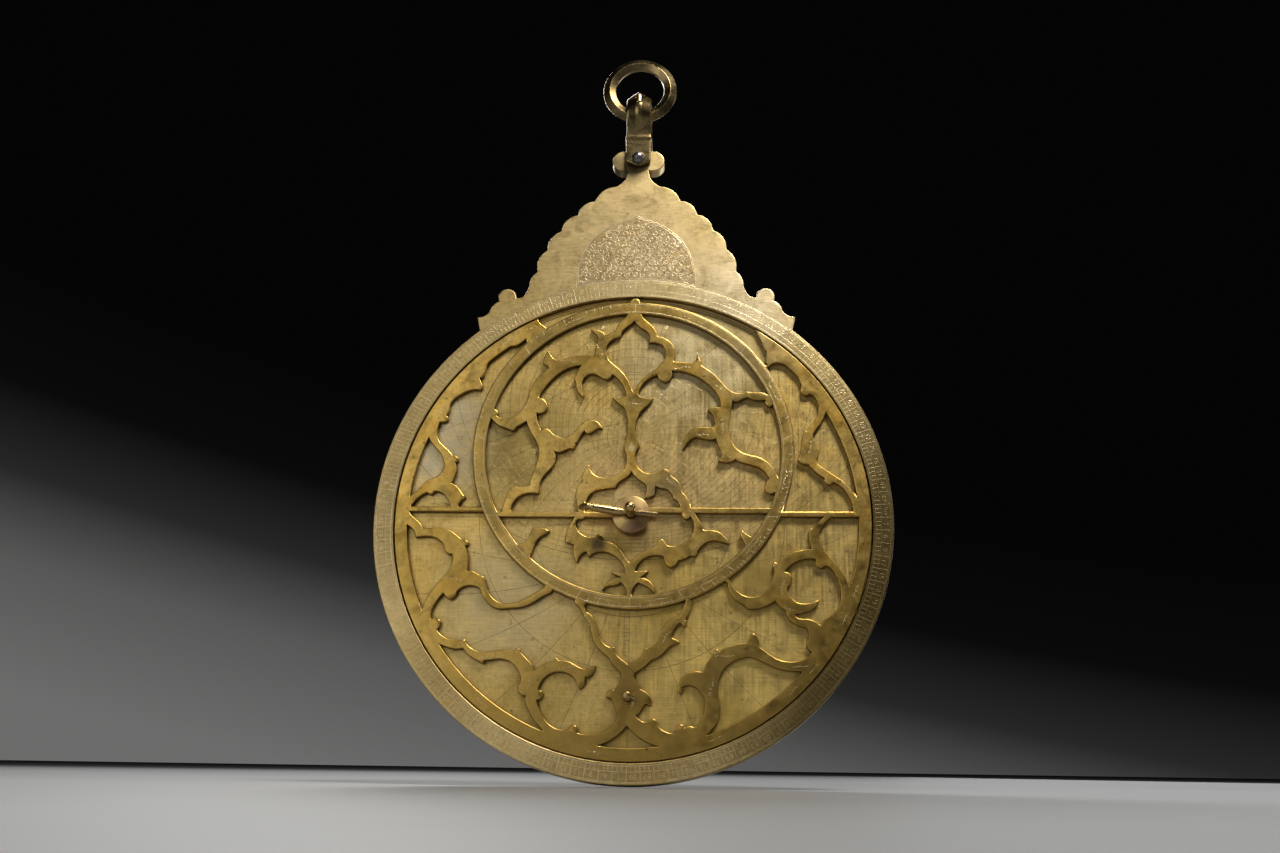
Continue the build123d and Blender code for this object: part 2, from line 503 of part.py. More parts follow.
    # Inside the hub scroll, below the bar.
    gaps.append(outline(
        [(-16.4, 0.4), (-16.4, -0.9), (-17.5, -1.3), (-18.6, -1.2)],
        [(-19.2, -2.4), (-19.0, -4.1), (-17.8, -5.9), (-15.9, -7.2), (-14.0, -7.7), (-12.3, -7.7)],
        [(-12.0, -6.9), (-11.0, -6.6), (-10.0, -7.3), (-9.5, -8.8)],
        [(-7.6, -9.2), (-5.6, -10.1), (-3.9, -11.7), (-2.2, -14.0), (-0.2, -16.7)],
        [(1.7, -14.4), (4.7, -12.5), (7.4, -11.2), (9.0, -10.2)],
        [(9.5, -8.7), (10.6, -8.1), (11.6, -9.0), (12.6, -10.4)],
        [(15.0, -10.6), (17.6, -9.8), (19.8, -8.1), (21.3, -5.8), (21.7, -3.3), (21.2, -1.2),
         (20.4, 0.0)],
        [(19.6, -0.8), (18.6, -0.9), (17.8, -0.2), (17.4, 0.9)],
        ((17.4, 2.1), (0.0, 2.1), (0.0, 0.4)),
    ))
    # Below the bar, left.
    gaps.append(outline(
        [(-19.4, 0.4), (-20.6, -2.2), (-22.1, -4.8), (-22.7, -7.5), (-22.4, -9.6)],
        [(-21.2, -9.8), (-19.6, -10.4)],
        [(-19.8, -12.8), (-19.3, -15.0), (-18.4, -16.6)],
        [(-17.8, -15.0), (-16.8, -13.5), (-15.3, -12.6)],
        [(-14.8, -13.8), (-14.3, -14.7)],
        [(-12.8, -13.3), (-10.5, -12.7), (-8.0, -12.9), (-5.5, -14.1), (-3.4, -16.0),
         (-2.1, -18.3), (-1.9, -20.0)],
        [(-4.0, -20.2), (-6.6, -19.7)],
        [(-4.9, -20.9), (-3.0, -21.7)],
        [(-5.3, -22.0), (-7.4, -23.1), (-8.8, -24.6), (-9.4, -26.2)],
        [(-7.7, -24.8), (-5.3, -24.4), (-3.3, -23.4)],
        [(-2.0, -24.7), (-1.2, -26.6), (-1.1, -29.5)],
        ecl(268, 230),
        ((-34.9, -15.0),),
        [(-33.9, -13.0), (-33.2, -10.8), (-32.4, -8.7), (-30.6, -7.1), (-28.1, -5.6)],
        [(-30.0, -4.6), (-32.2, -4.3), (-34.2, -4.4)],
        [(-35.0, -6.7), (-36.0, -8.8), (-38.0, -10.2), (-40.3, -10.2)],
        ecl(220, 207),
        ((-48.7, 0.4),),
    ))
    # Below the bar, right.
    gaps.append(outline(
        [(21.6, 2.1), (22.8, -0.3), (24.2, -2.5), (25.1, -4.9)],
        [(27.5, -4.9), (29.8, -5.3), (31.8, -6.7), (33.9, -9.7)],
        [(31.0, -8.9), (28.6, -8.5), (26.0, -9.1), (24.2, -10.5), (22.8, -12.3)],
        [(22.6, -13.6), (21.6, -14.0), (20.3, -13.7)],
        [(18.6, -14.9), (16.3, -15.5)],
        [(15.4, -17.2), (13.9, -18.0), (12.4, -17.4), (11.6, -15.9), (11.3, -14.3)],
        [(9.3, -13.8), (6.8, -14.0), (4.4, -15.1), (2.6, -16.9), (1.6, -19.6)],
        [(3.5, -19.3), (6.2, -19.4)],
        [(5.0, -20.5), (3.0, -21.9)],
        [(5.3, -22.0), (7.2, -23.4), (8.5, -25.6), (8.3, -27.3)],
        [(7.0, -25.6), (5.0, -24.4), (2.7, -23.4)],
        [(1.4, -24.8), (0.7, -26.8), (0.6, -29.5)],
        ecl(-89, -42.5),
        ((39.4, -11.2),),
        [(38.9, -9.3), (37.7, -7.3)],
        [(37.6, -6.0), (38.1, -4.8)],
        [(39.5, -6.1), (41.6, -7.2), (44.5, -7.0)],
        ecl(-34, -24.5),
        ((49.0, 2.1),),
    ))
    return gaps


def bar_piece(x0, x1, z):
    """One level stretch of the equinoctial bar; its steps are counterchanged."""
    return Pos((x0 + x1) / 2, z) * Rectangle(x1 - x0, BAR_W)


def rete_face():
    face = Circle(RETE_R) - (outer_gaps() + inner_gaps())
    face += Pos(0, ECLIPTIC_Z) * (Circle(ECLIPTIC_R) - Circle(ECLIPTIC_INNER_R))
    capricorn = Circle(RETE_R) - Circle(RETE_INNER_R)
    top = outline(((-35.9, 74.6), (-33.0, 68.0), (0.0, 60.0), (47.0, 55.0), (47.6, 61.6),
                   (43.0, 71.3), (60.0, 100.0), (-48.0, 100.0)))
    face += capricorn - top
    face += [
        bar_piece(-80.0, -49.5, 2.15),
        bar_piece(-49.5, 0.0, 0.40),
        bar_piece(0.0, 49.5, 2.15),
        bar_piece(49.5, 80.0, 1.05),
        Circle(HUB_R),
        Pos(-0.2, 80.65) * Circle(2.0),
    ]
    face -= Circle(PIN_HOLE_R)
    face -= Pos(0, KNOB_Z) * Circle(KNOB_TENON_R + 0.02)
    return face


def rete():
    return slab(rete_face(), RETE_FRONT_Y, RETE_T)


def rete_knob():
    knob = rod(0, KNOB_Z, KNOB_R, RETE_FRONT_Y - KNOB_H, RETE_FRONT_Y)
    knob = chamfer(knob.faces().sort_by(Axis.Y)[0].edges(), 0.25)
    return knob + rod(0, KNOB_Z, KNOB_TENON_R, RETE_FRONT_Y - 0.5, RETE_FRONT_Y + RETE_T)


# Throne outline, right half, as cusps from the neck down to the shoulder.
SCALLOPS = [(8.5, 129.0), (16.0, 122.9), (22.4, 117.0), (28.4, 110.3), (33.3, 102.4), (36.7, 93.4)]


def arc_over(p, q, bulge):
    """Arc from p to q that bows to the right of the way it runs by bulge."""
    dx = q[0] - p[0]
    dz = q[1] - p[1]
    n = math.hypot(dx, dz)
    mid = ((p[0] + q[0]) / 2 - dz / n * bulge, (p[1] + q[1]) / 2 + dx / n * bulge)
    return ThreePointArc(p, mid, q)


def throne_half():
    """Right half of the throne, closed down the middle line."""
    edges = [
        Line((0, 60.0), (0, 142.0)),
        Line((0, 142.0), (3.6, 142.0)),
        Line((3.6, 142.0), (3.6, 136.6)),
        Spline((3.6, 136.6), (4.2, 134.6), (4.7, 132.6), (6.2, 130.6), (8.5, 129.0)),
    ]
    for p, q in zip(SCALLOPS[:-1], SCALLOPS[1:]):
        edges.append(arc_over(p, q, 1.65))
    edges.append(arc_over(SCALLOPS[-1], (39.6, 87.4), 0.9))
    edges.append(Spline((39.6, 87.4), (40.5, 84.9), (41.9, 83.2), (44.0, 82.8)))
    edges.append(Line((44.0, 82.8), (50.9, 81.2)))
    edges.append(arc_over((50.9, 81.2), (53.6, 77.4), 0.6))
    edges.append(arc_over((53.6, 77.4), (58.1, 75.0), -0.7))
    edges.append(Line((58.1, 75.0), (57.0, 70.0)))
    edges.append(Line((57.0, 70.0), (0, 60.0)))
    half = make_face(Wire(edges))
    half += Pos(47.5, 83.1) * Circle(3.3)
    half += Pos(5.6, 140.0) * Circle(4.3)
    return half


def limb_and_throne():
    half = throne_half()
    throne = half + mirror(half, about=Plane.YZ)
    throne += Pos(0, RIVET_Z) * Circle(3.9)
    throne -= Circle(LIMB_R - 1.5)
    throne -= Pos(0, RIVET_Z) * Circle(RIVET_R + 0.06)
    limb = slab(Circle(LIMB_R) - Circle(WELL_R), FRONT_Y, FLOOR_Y - FRONT_Y)
    body = limb + slab(throne, FRONT_Y, THRONE_T)
    pocket_depth = FLOOR_Y - PLATE_FRONT_Y + 0.05
    pocket = Pos(0, FLOOR_Y - pocket_depth / 2, -WELL_R) * Box(TAB_W, pocket_depth, 2 * (TAB_R - WELL_R))
    return body - pocket


def back_plate():
    return slab(Circle(LIMB_R) - Circle(PIN_HOLE_R), FLOOR_Y, BACK_Y - FLOOR_Y)


def climate_plate(index):
    """One removable plate; its tab sits in the pocket at the foot of the limb."""
    face = Circle(PLATE_R) - Circle(PIN_HOLE_R)
    tab_len = TAB_R - 0.3 - (PLATE_R - 1.0)
    face += Pos(0, -(PLATE_R - 1.0 + tab_len / 2)) * Rectangle(TAB_W - 0.3, tab_len)
    return slab(face, PLATE_FRONT_Y + index * PLATE_PITCH, PLATE_T)


def alidade_bar():
    """Double-ended rule with pointed tips and a round boss, behind the back plate."""
    w = ALIDADE_W / 2
    h = ALIDADE_HALF
    blade = Polyline((0, h), (w, h - 9), (w, -h + 9), (0, -h), (-w, -h + 9), (-w, h - 9), (0, h))
    face = make_face(blade) + Circle(10.0)
    for s in (1, -1):
        face += Pos(0, s * VANE_Z) * RectangleRounded(VANE_W, 9.0, 1.5)
    face -= Circle(PIN_HOLE_R)
    for x, z in vane_rivet_spots():
        face -= Pos(x, z) * Circle(VANE_RIVET_R + 0.02)
    return slab(face, ALIDADE_Y, ALIDADE_T)


def vane_rivet_spots():
    return [(sx * 5.2, sz * (VANE_Z + 2.0)) for sz in (1, -1) for sx in (1, -1)]


def sight_vane(side):
    """Angle piece: a foot on the rule and an upright plate with a large and a small sight hole."""
    y0 = ALIDADE_Y + ALIDADE_T
    foot = slab(RectangleRounded(VANE_W, 8.0, 1.2), y0, 1.2)
    plate = Pos(0, y0 + VANE_H / 2, -4.0 + VANE_T / 2) * Box(VANE_W, VANE_H, VANE_T)
    top = plate.edges().filter_by(Axis.Z).sort_by(Axis.Y)[-2:]
    plate = fillet(top, 3.0)
    vane = foot + plate
    vane -= Pos(0, y0 + 9.5, -4.0 + VANE_T / 2) * Cylinder(1.2, 3 * VANE_T)
    vane -= Pos(0, y0 + 5.0, -4.0 + VANE_T / 2) * Cylinder(0.5, 3 * VANE_T)
    for sx in (1, -1):
        vane -= rod(sx * 5.2, 2.0, VANE_RIVET_R + 0.02, y0 - 1, y0 + 3)
    if side < 0:
        vane = Rot(0, 180, 0) * vane
    return Pos(0, 0, side * VANE_Z) * vane


def vane_rivets():
    """Four flush-backed rivets with low domed heads."""
    y0 = ALIDADE_Y
    y1 = ALIDADE_Y + ALIDADE_T + 1.2
    rivets = []
    for x, z in vane_rivet_spots():
        dome = Pos(x, y1, z) * Sphere(1.4) & Pos(x, y1 + 0.35, z) * Box(4, 0.7, 4)
        rivets.append(rod(x, z, VANE_RIVET_R, y0, y1 + 0.1) + dome)
    return Compound(children=[r.solid() for r in rivets])


def pole_pin():
    """Round pin with a domed head behind the alidade, slotted for the horse, ball-ended."""
    head_y = ALIDADE_Y + ALIDADE_T + 0.05
    shaft = rod(0, 0, PIN_R, PIN_TIP_Y + PIN_BALL_R, head_y + 0.5)
    ball = Pos(0, PIN_TIP_Y + PIN_BALL_R, 0) * Sphere(PIN_BALL_R)
    head = rod(0, 0, PIN_HEAD_R, head_y, head_y + 2.2)
    head = fillet(head.faces().sort_by(Axis.Y)[-1].edges(), 1.4)
    slot_back = WASHER_Y - WASHER_T
    slot = Pos(0, slot_back - SLOT_DEPTH / 2, 0) * Box(10, SLOT_DEPTH, SLOT_H)
    return Rot(0, PIN_TURN, 0) * (shaft + ball + head - slot)


def pole_washer():
    """Low cone with a flat top, drawn as half a section and turned about the pin's axis."""
    section = make_face(Polyline(
        (PIN_HOLE_R, 0), (WASHER_R, 0), (WASHER_R, WASHER_RIM_T), (WASHER_TOP_R, WASHER_T),
        (PIN_HOLE_R, WASHER_T), (PIN_HOLE_R, 0)))
    turned = revolve(Rot(90, 0, 0) * section, Axis.Z)
    return Pos(0, WASHER_Y, 0) * Rot(90, 0, 0) * turned


def horse_profile():
    """Side view of the wedge, x along it and height off the washer: tail right, head left."""
    return outline(
        [(8.9, 0.0), (9.5, 0.45), (9.7, 1.05), (9.4, 1.75), (8.8, 2.1)],
        ((2.0, 2.3), (-2.6, 2.45)),
        [(-4.5, 2.75), (-7.0, 3.45), (-9.7, 4.4), (-12.0, 5.25), (-13.8, 5.8)],
        [(-14.1, 6.4), (-14.5, 6.9)],
        [(-14.8, 6.3), (-15.2, 5.8)],
        [(-16.1, 5.15), (-17.2, 4.2), (-17.9, 3.35), (-18.0, 2.65), (-17.4, 2.2)],
        [(-16.5, 2.4), (-15.3, 2.95), (-14.1, 3.0)],
        [(-12.4, 2.5), (-10.3, 1.6), (-7.7, 0.65), (-5.2, 0.1), (-2.6, 0.0)],
    )


def horse():
    """Wedge through the pin, ending in a horse's head that arches up off the washer."""
    side = Plane(origin=(0, HORSE_Y, 0), x_dir=(1, 0, 0), z_dir=(0, 0, -1))
    profile = side * horse_profile()
    shank = extrude(profile, HORSE_SHANK_W / 2, both=True)
    neck = extrude(profile, HORSE_NECK_W / 2, both=True) & Pos(-12.6, -10, 0) * Box(20, 20, 10)
    eyes = Pos(-15.7, HORSE_Y - 4.1, HORSE_NECK_W / 2) * Sphere(0.32)
    eyes += Pos(-15.7, HORSE_Y - 4.1, -HORSE_NECK_W / 2) * Sphere(0.32)
    mouth = Pos(-17.7, HORSE_Y - 2.85, 0) * Rot(0, 0, -28) * Box(1.6, 0.25, 10)
    return Rot(0, PIN_TURN, 0) * (shank + neck - eyes - mouth)


def shackle():
    """Swivel: two leaves round the throne tip, a beaded collar and a ridged barrel for the ring."""
    w = SHACKLE_W / 2
    side = outline(
        ((-LEAF_Y, 130.0), (LEAF_Y, 130.0), (LEAF_Y, 148.6)),
        [(LEAF_Y - 0.7, 150.6), (LEAF_Y - 0.2, 153.0), (6.3, 156.6), (BARREL_R, WIRE_Z)],
        ((-BARREL_R, WIRE_Z),),
        [(-6.3, 156.6), (-LEAF_Y + 0.2, 153.0), (-LEAF_Y + 0.7, 150.6), (-LEAF_Y, 148.6)],
    )
    body = Rot(0, 0, 90) * Rot(90, 0, 0) * extrude(side, w, both=True)
    front = outline(((-w, 170.0), (-w, 138.9), (0.0, 136.6), (w, 138.9), (w, 170.0)))
    body = body & slab(front, -10, 20)
    profile = make_face(Polyline(
        (-w, 0), (-w, BARREL_R), (0, BARREL_RIDGE_R), (w, BARREL_R), (w, 0), (-w, 0)))
    barrel = Pos(0, 0, WIRE_Z) * revolve(profile, Axis.X)
    body = body + barrel
    collar = Pos(0, 0, 148.9) * Box(2 * w + 0.7, 2 * LEAF_Y + 0.9, 1.5)
    collar = fillet(collar.edges().filter_by(Axis.Z), 0.8)
    levels = collar.faces().sort_by(Axis.Z)
    collar = fillet(levels[0].edges() + levels[-1].edges(), 0.55)
    body = body + collar
    body -= Pos(0, 0, WIRE_Z) * Rot(0, 90, 0) * Cylinder(WIRE_HOLE_R, 30)
    body -= Pos(0, 0, BRIDGE_Z - 15) * Box(30, 2 * SLOT_Y, 30)
    body -= rod(0, RIVET_Z, RIVET_R + 0.02, -20, 20)
    return body


def shackle_rivet():
    """Rivet through both leaves and the throne tip, domed at both ends."""
    rivet = rod(0, RIVET_Z, RIVET_R, -LEAF_Y - 0.1, LEAF_Y + 0.1)
    for s in (1, -1):
        ball = Pos(0, s * (LEAF_Y - 0.75), RIVET_Z) * Sphere(2.5)
        keep = Pos(0, s * (LEAF_Y + 5.0), RIVET_Z) * Box(10, 10, 10)
        rivet = rivet + (ball & keep)
    return rivet


def suspension_ring():
    """Ring of lozenge section with a flat land inside."""
    h = RING_HALF
    d = RING_DEPTH / 2
    f = RING_LAND / 2
    section = make_face(Polyline(
        (RING_R - h, -f), (RING_R, -d), (RING_R + h, -0.25), (RING_R + h, 0.25),
        (RING_R, d), (RING_R - h, f), (RING_R - h, -f)))
    upright = Rot(90, 0, 0) * section
    ring = revolve(upright, Axis.Z)
    return Pos(0, 0, RING_Z) * Rot(90, 0, 0) * ring


def build():
    parts = {
        "suspension_ring": suspension_ring(),
        "shackle": shackle(),
        "shackle_rivet": shackle_rivet(),
        "limb_and_throne": limb_and_throne(),
        "back_plate": back_plate(),
        "rete": rete(),
        "rete_knob": rete_knob(),
        "pole_pin": pole_pin(),
        "pole_washer": pole_washer(),
        "horse": horse(),
        "alidade_bar": alidade_bar(),
        "sight_vane_upper": sight_vane(1),
        "sight_vane_lower": sight_vane(-1),
        "vane_rivets": vane_rivets(),
    }
    for index in range(PLATE_COUNT):
        parts["climate_plate_%d" % (index + 1)] = climate_plate(index)
    return parts


os.makedirs("parts", exist_ok=True)
for name, shape in build().items():
    moved = Pos(0, 0, -RING_Z) * shape
    export_step(moved, "parts/%s.step" % name)
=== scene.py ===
import json
import math
import random

import bmesh
import bpy
import numpy as np
from mathutils import Euler, Matrix, Vector, geometry

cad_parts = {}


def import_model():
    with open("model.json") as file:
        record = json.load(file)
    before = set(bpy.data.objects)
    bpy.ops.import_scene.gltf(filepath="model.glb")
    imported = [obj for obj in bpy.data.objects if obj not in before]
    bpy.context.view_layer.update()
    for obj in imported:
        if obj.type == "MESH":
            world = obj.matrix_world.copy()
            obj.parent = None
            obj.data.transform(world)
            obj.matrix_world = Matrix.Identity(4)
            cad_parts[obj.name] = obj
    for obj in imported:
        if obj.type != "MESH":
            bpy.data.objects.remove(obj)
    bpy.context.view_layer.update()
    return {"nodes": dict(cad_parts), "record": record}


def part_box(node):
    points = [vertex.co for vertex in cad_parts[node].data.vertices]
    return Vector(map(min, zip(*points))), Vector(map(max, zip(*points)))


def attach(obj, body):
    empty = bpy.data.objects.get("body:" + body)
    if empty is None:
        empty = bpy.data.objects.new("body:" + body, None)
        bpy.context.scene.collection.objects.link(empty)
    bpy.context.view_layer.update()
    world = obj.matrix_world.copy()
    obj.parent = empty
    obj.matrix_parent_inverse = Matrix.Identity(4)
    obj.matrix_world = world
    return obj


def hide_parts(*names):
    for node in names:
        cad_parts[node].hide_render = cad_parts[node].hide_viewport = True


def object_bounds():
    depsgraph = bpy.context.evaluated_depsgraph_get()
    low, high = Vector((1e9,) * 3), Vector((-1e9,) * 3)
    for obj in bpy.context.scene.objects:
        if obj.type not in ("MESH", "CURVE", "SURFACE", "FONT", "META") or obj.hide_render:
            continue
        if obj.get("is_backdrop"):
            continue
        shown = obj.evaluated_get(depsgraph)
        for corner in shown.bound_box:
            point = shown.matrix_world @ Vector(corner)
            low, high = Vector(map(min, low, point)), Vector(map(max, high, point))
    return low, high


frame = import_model()
MM = 0.001

# Places on the object in metres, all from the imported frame. CZ is the pole's height.
BACK_LO, BACK_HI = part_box("back_plate")
RING_LO, RING_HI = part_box("suspension_ring")
WASHER_LO, WASHER_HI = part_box("pole_washer")
CZ = (BACK_LO.z + BACK_HI.z) / 2
LIMB_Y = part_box("limb_and_throne")[0].y
PLATE_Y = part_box("climate_plate_1")[0].y
RETE_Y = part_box("rete")[0].y
BACK_Y = BACK_HI.y
RULE_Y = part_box("alidade_bar")[1].y

# Sizes in millimetres
RING_OUT = (RING_HI.x - RING_LO.x) / 2 / MM
RING_DEEP = (RING_HI.y - RING_LO.y) / 2 / MM
WASHER_OUT = (WASHER_HI.x - WASHER_LO.x) / 2 / MM
WASHER_DEEP = (WASHER_HI.y - WASHER_LO.y) / MM
ECLIPTIC_UP = 24.2      # the ecliptic ring's centre above the pole
ECLIPTIC_OUT = 56.8     # the ecliptic ring's outer radius


# ---------------- materials
class Graph:
    """A short way to write shader nodes."""

    def __init__(self, name):
        self.mat = bpy.data.materials.new(name)
        self.mat.use_nodes = True
        self.nt = self.mat.node_tree
        self.nt.nodes.clear()
        self.out = self.nt.nodes.new("ShaderNodeOutputMaterial")
        self.coord = self.nt.nodes.new("ShaderNodeTexCoord").outputs["Object"]

    def node(self, kind, inputs=None, **settings):
        """A new node with its settings, whose inputs are linked to a socket or set to a value."""
        n = self.nt.nodes.new(kind)
        for key, value in settings.items():
            setattr(n, key, value)
        for key, value in (inputs or {}).items():
            if isinstance(value, bpy.types.NodeSocket):
                self.nt.links.new(value, n.inputs[key])
            else:
                n.inputs[key].default_value = value
        return n

    def stretch(self, scale=(1, 1, 1), turn=(0, 0, 0), shift=(0, 0, 0)):
        inputs = {"Vector": self.coord, "Scale": scale, "Rotation": turn, "Location": shift}
        return self.node("ShaderNodeMapping", inputs).outputs["Vector"]

    def noise(self, scale, detail, rough, vector=None, distortion=0.0):
        inputs = {"Vector": vector or self.coord, "Scale": scale, "Detail": detail,
                  "Roughness": rough, "Distortion": distortion}
        return self.node("ShaderNodeTexNoise", inputs).outputs[0]

    def ramp(self, fac, lo, hi, a=0.0, b=1.0):
        """The stretch of a value from lo to hi, mapped onto a to b."""
        inputs = {"Value": fac, "From Min": lo, "From Max": hi, "To Min": a, "To Max": b}
        return self.node("ShaderNodeMapRange", inputs, clamp=True).outputs[0]

    def math(self, op, a, b=0.0):
        return self.node("ShaderNodeMath", {0: a, 1: b}, operation=op).outputs[0]

    def swing(self, noise, amount):
        """Noise centred on zero, times an amount."""
        return self.math("MULTIPLY", self.math("SUBTRACT", noise, 0.5), amount)

    def mix(self, fac, a, b, blend="MIX"):
        """Colour b laid over colour a by a factor."""
        a, b = (v if isinstance(v, bpy.types.NodeSocket) else (*v, 1.0) for v in (a, b))
        return self.node("ShaderNodeMix", {0: fac, 6: a, 7: b}, data_type="RGBA", blend_type=blend).outputs[2]

    def axis(self, name):
        return self.node("ShaderNodeSeparateXYZ", {"Vector": self.coord}).outputs[name]

    def around(self, x, z, r0, r1, most=1.0):
        """The value of most within r0 of a point on the face and 0 beyond r1, in mm from the pole."""
        flat = self.node("ShaderNodeVectorMath", {0: self.coord, 1: (1, 0, 1)}, operation="MULTIPLY")
        inputs = {0: flat.outputs[0], 1: (x * MM, 0, CZ + z * MM)}
        far = self.node("ShaderNodeVectorMath", inputs, operation="DISTANCE").outputs["Value"]
        return self.ramp(far, r0 * MM, r1 * MM, most, 0.0)

    def bump(self, height, strength, distance, normal=None):
        inputs = {"Height": height, "Strength": strength, "Distance": distance}
        if normal is not None:
            inputs["Normal"] = normal
        return self.node("ShaderNodeBump", inputs).outputs[0]

    def finish(self, colour, rough, normal, metal=1.0):
        inputs = {"Base Color": colour, "Roughness": rough, "Normal": normal, "Metallic": metal}
        shader = self.node("ShaderNodeBsdfPrincipled", inputs)
        self.nt.links.new(shader.outputs[0], self.out.inputs[0])
        return self.mat


YELLOW_TARNISH = (0.98, 0.84, 0.50)
GREY_TARNISH = (0.70, 0.66, 0.58)
SPECKLE = (0.55, 0.50, 0.42)
# Dark tone for dirt and painted shade in corners
DIRT_AND_SHADE_TONE = (0.060, 0.040, 0.015)
PIT = (0.10, 0.07, 0.03)
DIRT_AND_SHADE_REACH = 0.0022         # how near another surface has to be for dirt and painted shade to gather, in metres


def lighter(colour, times):
    return tuple(min(1.0, v * times) for v in colour)


def brass(name, light, dark, patina, streak, rough, stain, seed, turn=(0, 0, 0), dirt_and_shade=0.55, painted_low_shade=None,
          painted_shade=None, grain=1.0, light_shade_and_stain_spots=(), band=None, hatch=0.0, brushed=0.28, pits=0.5):
    """Old brass: broad tone drift, patina blotches, fine directional brushing, pits, and dirt with painted
    shade in corners.

    The darkening towards the bottom is painted shade: a tone, the height where it is strongest and the height
    where it is gone. The darkening along a slope is painted shade too: a tone, the slope's shares of X and Z,
    and the slope's start and end. Each spot, and the ring-shaped band, is x, z, two radii in mm, a strength
    and a tone; the spots hold painted light, shadow and shade as well as stains.
    """
    g = Graph(name)
    shift = (seed, seed * 0.7, -seed * 1.3)
    moved = g.stretch(shift=shift)
    broad = g.noise(22, 3, 0.5, moved)
    mottle = g.noise(130, 6, 0.65, moved, 0.6)
    fine = g.noise(1500, 3, 0.6)
    brush = g.noise(1.0, 5, 0.7, g.stretch(streak, turn, shift))
    cross_turn = (turn[0], turn[1] + 0.35, turn[2])
    cross = g.noise(1.0, 2, 0.5, g.stretch(tuple(v * 2.7 for v in streak), cross_turn, shift))

    # Tone drift, patina, brushing, tarnish and speckle all over
    colour = g.mix(g.ramp(broad, 0.38, 0.64), light, dark)
    colour = g.mix(g.math("MULTIPLY", g.ramp(mottle, 0.48, 0.72), stain), colour, patina)
    colour = g.mix(g.ramp(brush, 0.35, 0.7, 0.0, brushed), colour, lighter(light, 1.25))
    tarnish = g.noise(75, 7, 0.68, g.stretch(shift=(seed * 2.1, seed, seed)), 0.35)
    colour = g.mix(g.ramp(tarnish, 0.50, 0.66, 0.0, 0.8 * stain), colour, YELLOW_TARNISH, "MULTIPLY")
    colour = g.mix(g.ramp(tarnish, 0.50, 0.36, 0.0, 0.6 * stain), colour, GREY_TARNISH, "MULTIPLY")
    speckle = g.noise(700, 4, 0.7, moved)
    colour = g.mix(g.ramp(speckle, 0.52, 0.36, 0.0, 0.45), colour, SPECKLE, "MULTIPLY")

    # Painted light and shade on parts of the surface, with stains among the patches; the ring-shaped band is
    # a tone
    # Painted shade, darker towards the bottom of the piece
    if painted_low_shade is not None:
        tone, low, high = painted_low_shade
        drift = g.math("ADD", g.axis("Z"), g.swing(broad, 0.03))
        colour = g.mix(g.ramp(drift, low, high, 0.75, 0.0), colour, tone)
    # Painted shade, darker along a slope across the piece
    if painted_shade is not None:
        tone, shares, low, high = painted_shade
        parts = [g.math("MULTIPLY", g.axis(name), share) for name, share in zip("XZ", shares)]
        slope = g.math("ADD", g.math("ADD", *parts), g.swing(mottle, 0.02))
        colour = g.mix(g.ramp(slope, low, high, 0.0, 0.88), colour, tone)
    # Patches: painted light, shadow and shade, and stains
    for x, z, r0, r1, most, tone in light_shade_and_stain_spots:
        local = g.math("MULTIPLY", g.around(x, z, r0, r1, most), g.ramp(mottle, 0.30, 0.55, 0.45, 1.0))
        colour = g.mix(local, colour, tone)
    if band is not None:
        x, z, r0, r1, most, tone = band
        hole = g.math("SUBTRACT", 1.0, g.around(x, z, r0, r0 + 0.1))
        colour = g.mix(g.math("MULTIPLY", g.around(x, z, r1, r1 + 0.1, most), hole), colour, tone)
    if hatch:
        lines = g.noise(1.0, 4, 0.75, g.stretch((90, 30, 2100), (0, 0.9, 0), shift))
        colour = g.mix(g.ramp(lines, 0.50, 0.66, 0.0, hatch), colour, dark)
        colour = g.mix(g.ramp(lines, 0.44, 0.32, 0.0, hatch * 0.6), colour, lighter(light, 1.3))

    # Dirt and painted shade in the corners, where other surfaces are near, and small pits
    near = g.node("ShaderNodeAmbientOcclusion", {"Distance": DIRT_AND_SHADE_REACH}, samples=6).outputs["AO"]
    dirt_and_shade_mask = g.ramp(g.math("ADD", near, g.swing(mottle, 0.35)), 0.25, 0.85, dirt_and_shade, 0.0)
    colour = g.mix(dirt_and_shade_mask, colour, DIRT_AND_SHADE_TONE)
    dots = g.noise(420, 2, 0.5, g.stretch(shift=(seed + 3, 0, 0)))
    specks = g.ramp(dots, 0.70 - 0.06 * pits, 0.76, 0.0, pits)
    colour = g.mix(specks, colour, PIT)

    value = g.ramp(mottle, 0.3, 0.75, rough[0], rough[1])
    value = g.math("ADD", value, g.ramp(brush, 0.3, 0.7, -0.05, 0.07))
    value = g.math("ADD", value, g.math("MULTIPLY", dirt_and_shade_mask, 0.25))
    normal = g.bump(brush, 0.35 * grain, 0.00004)
    normal = g.bump(cross, 0.25 * grain, 0.00003, normal)
    normal = g.bump(fine, 0.20, 0.00002, normal)
    normal = g.bump(mottle, 0.30, 0.00010, normal)
    normal = g.bump(specks, -0.4, 0.00006, normal)
    return g.finish(colour, value, normal)


def steel(name):
    g = Graph(name)
    mottle = g.noise(500, 5, 0.6)
    fine = g.noise(2600, 2, 0.5)
    colour = g.mix(g.ramp(mottle, 0.35, 0.7), (0.30, 0.29, 0.30), (0.12, 0.10, 0.10))
    rough = g.ramp(mottle, 0.3, 0.7, 0.22, 0.45)
    return g.finish(colour, rough, g.bump(fine, 0.25, 0.00003, g.bump(mottle, 0.4, 0.00008)))
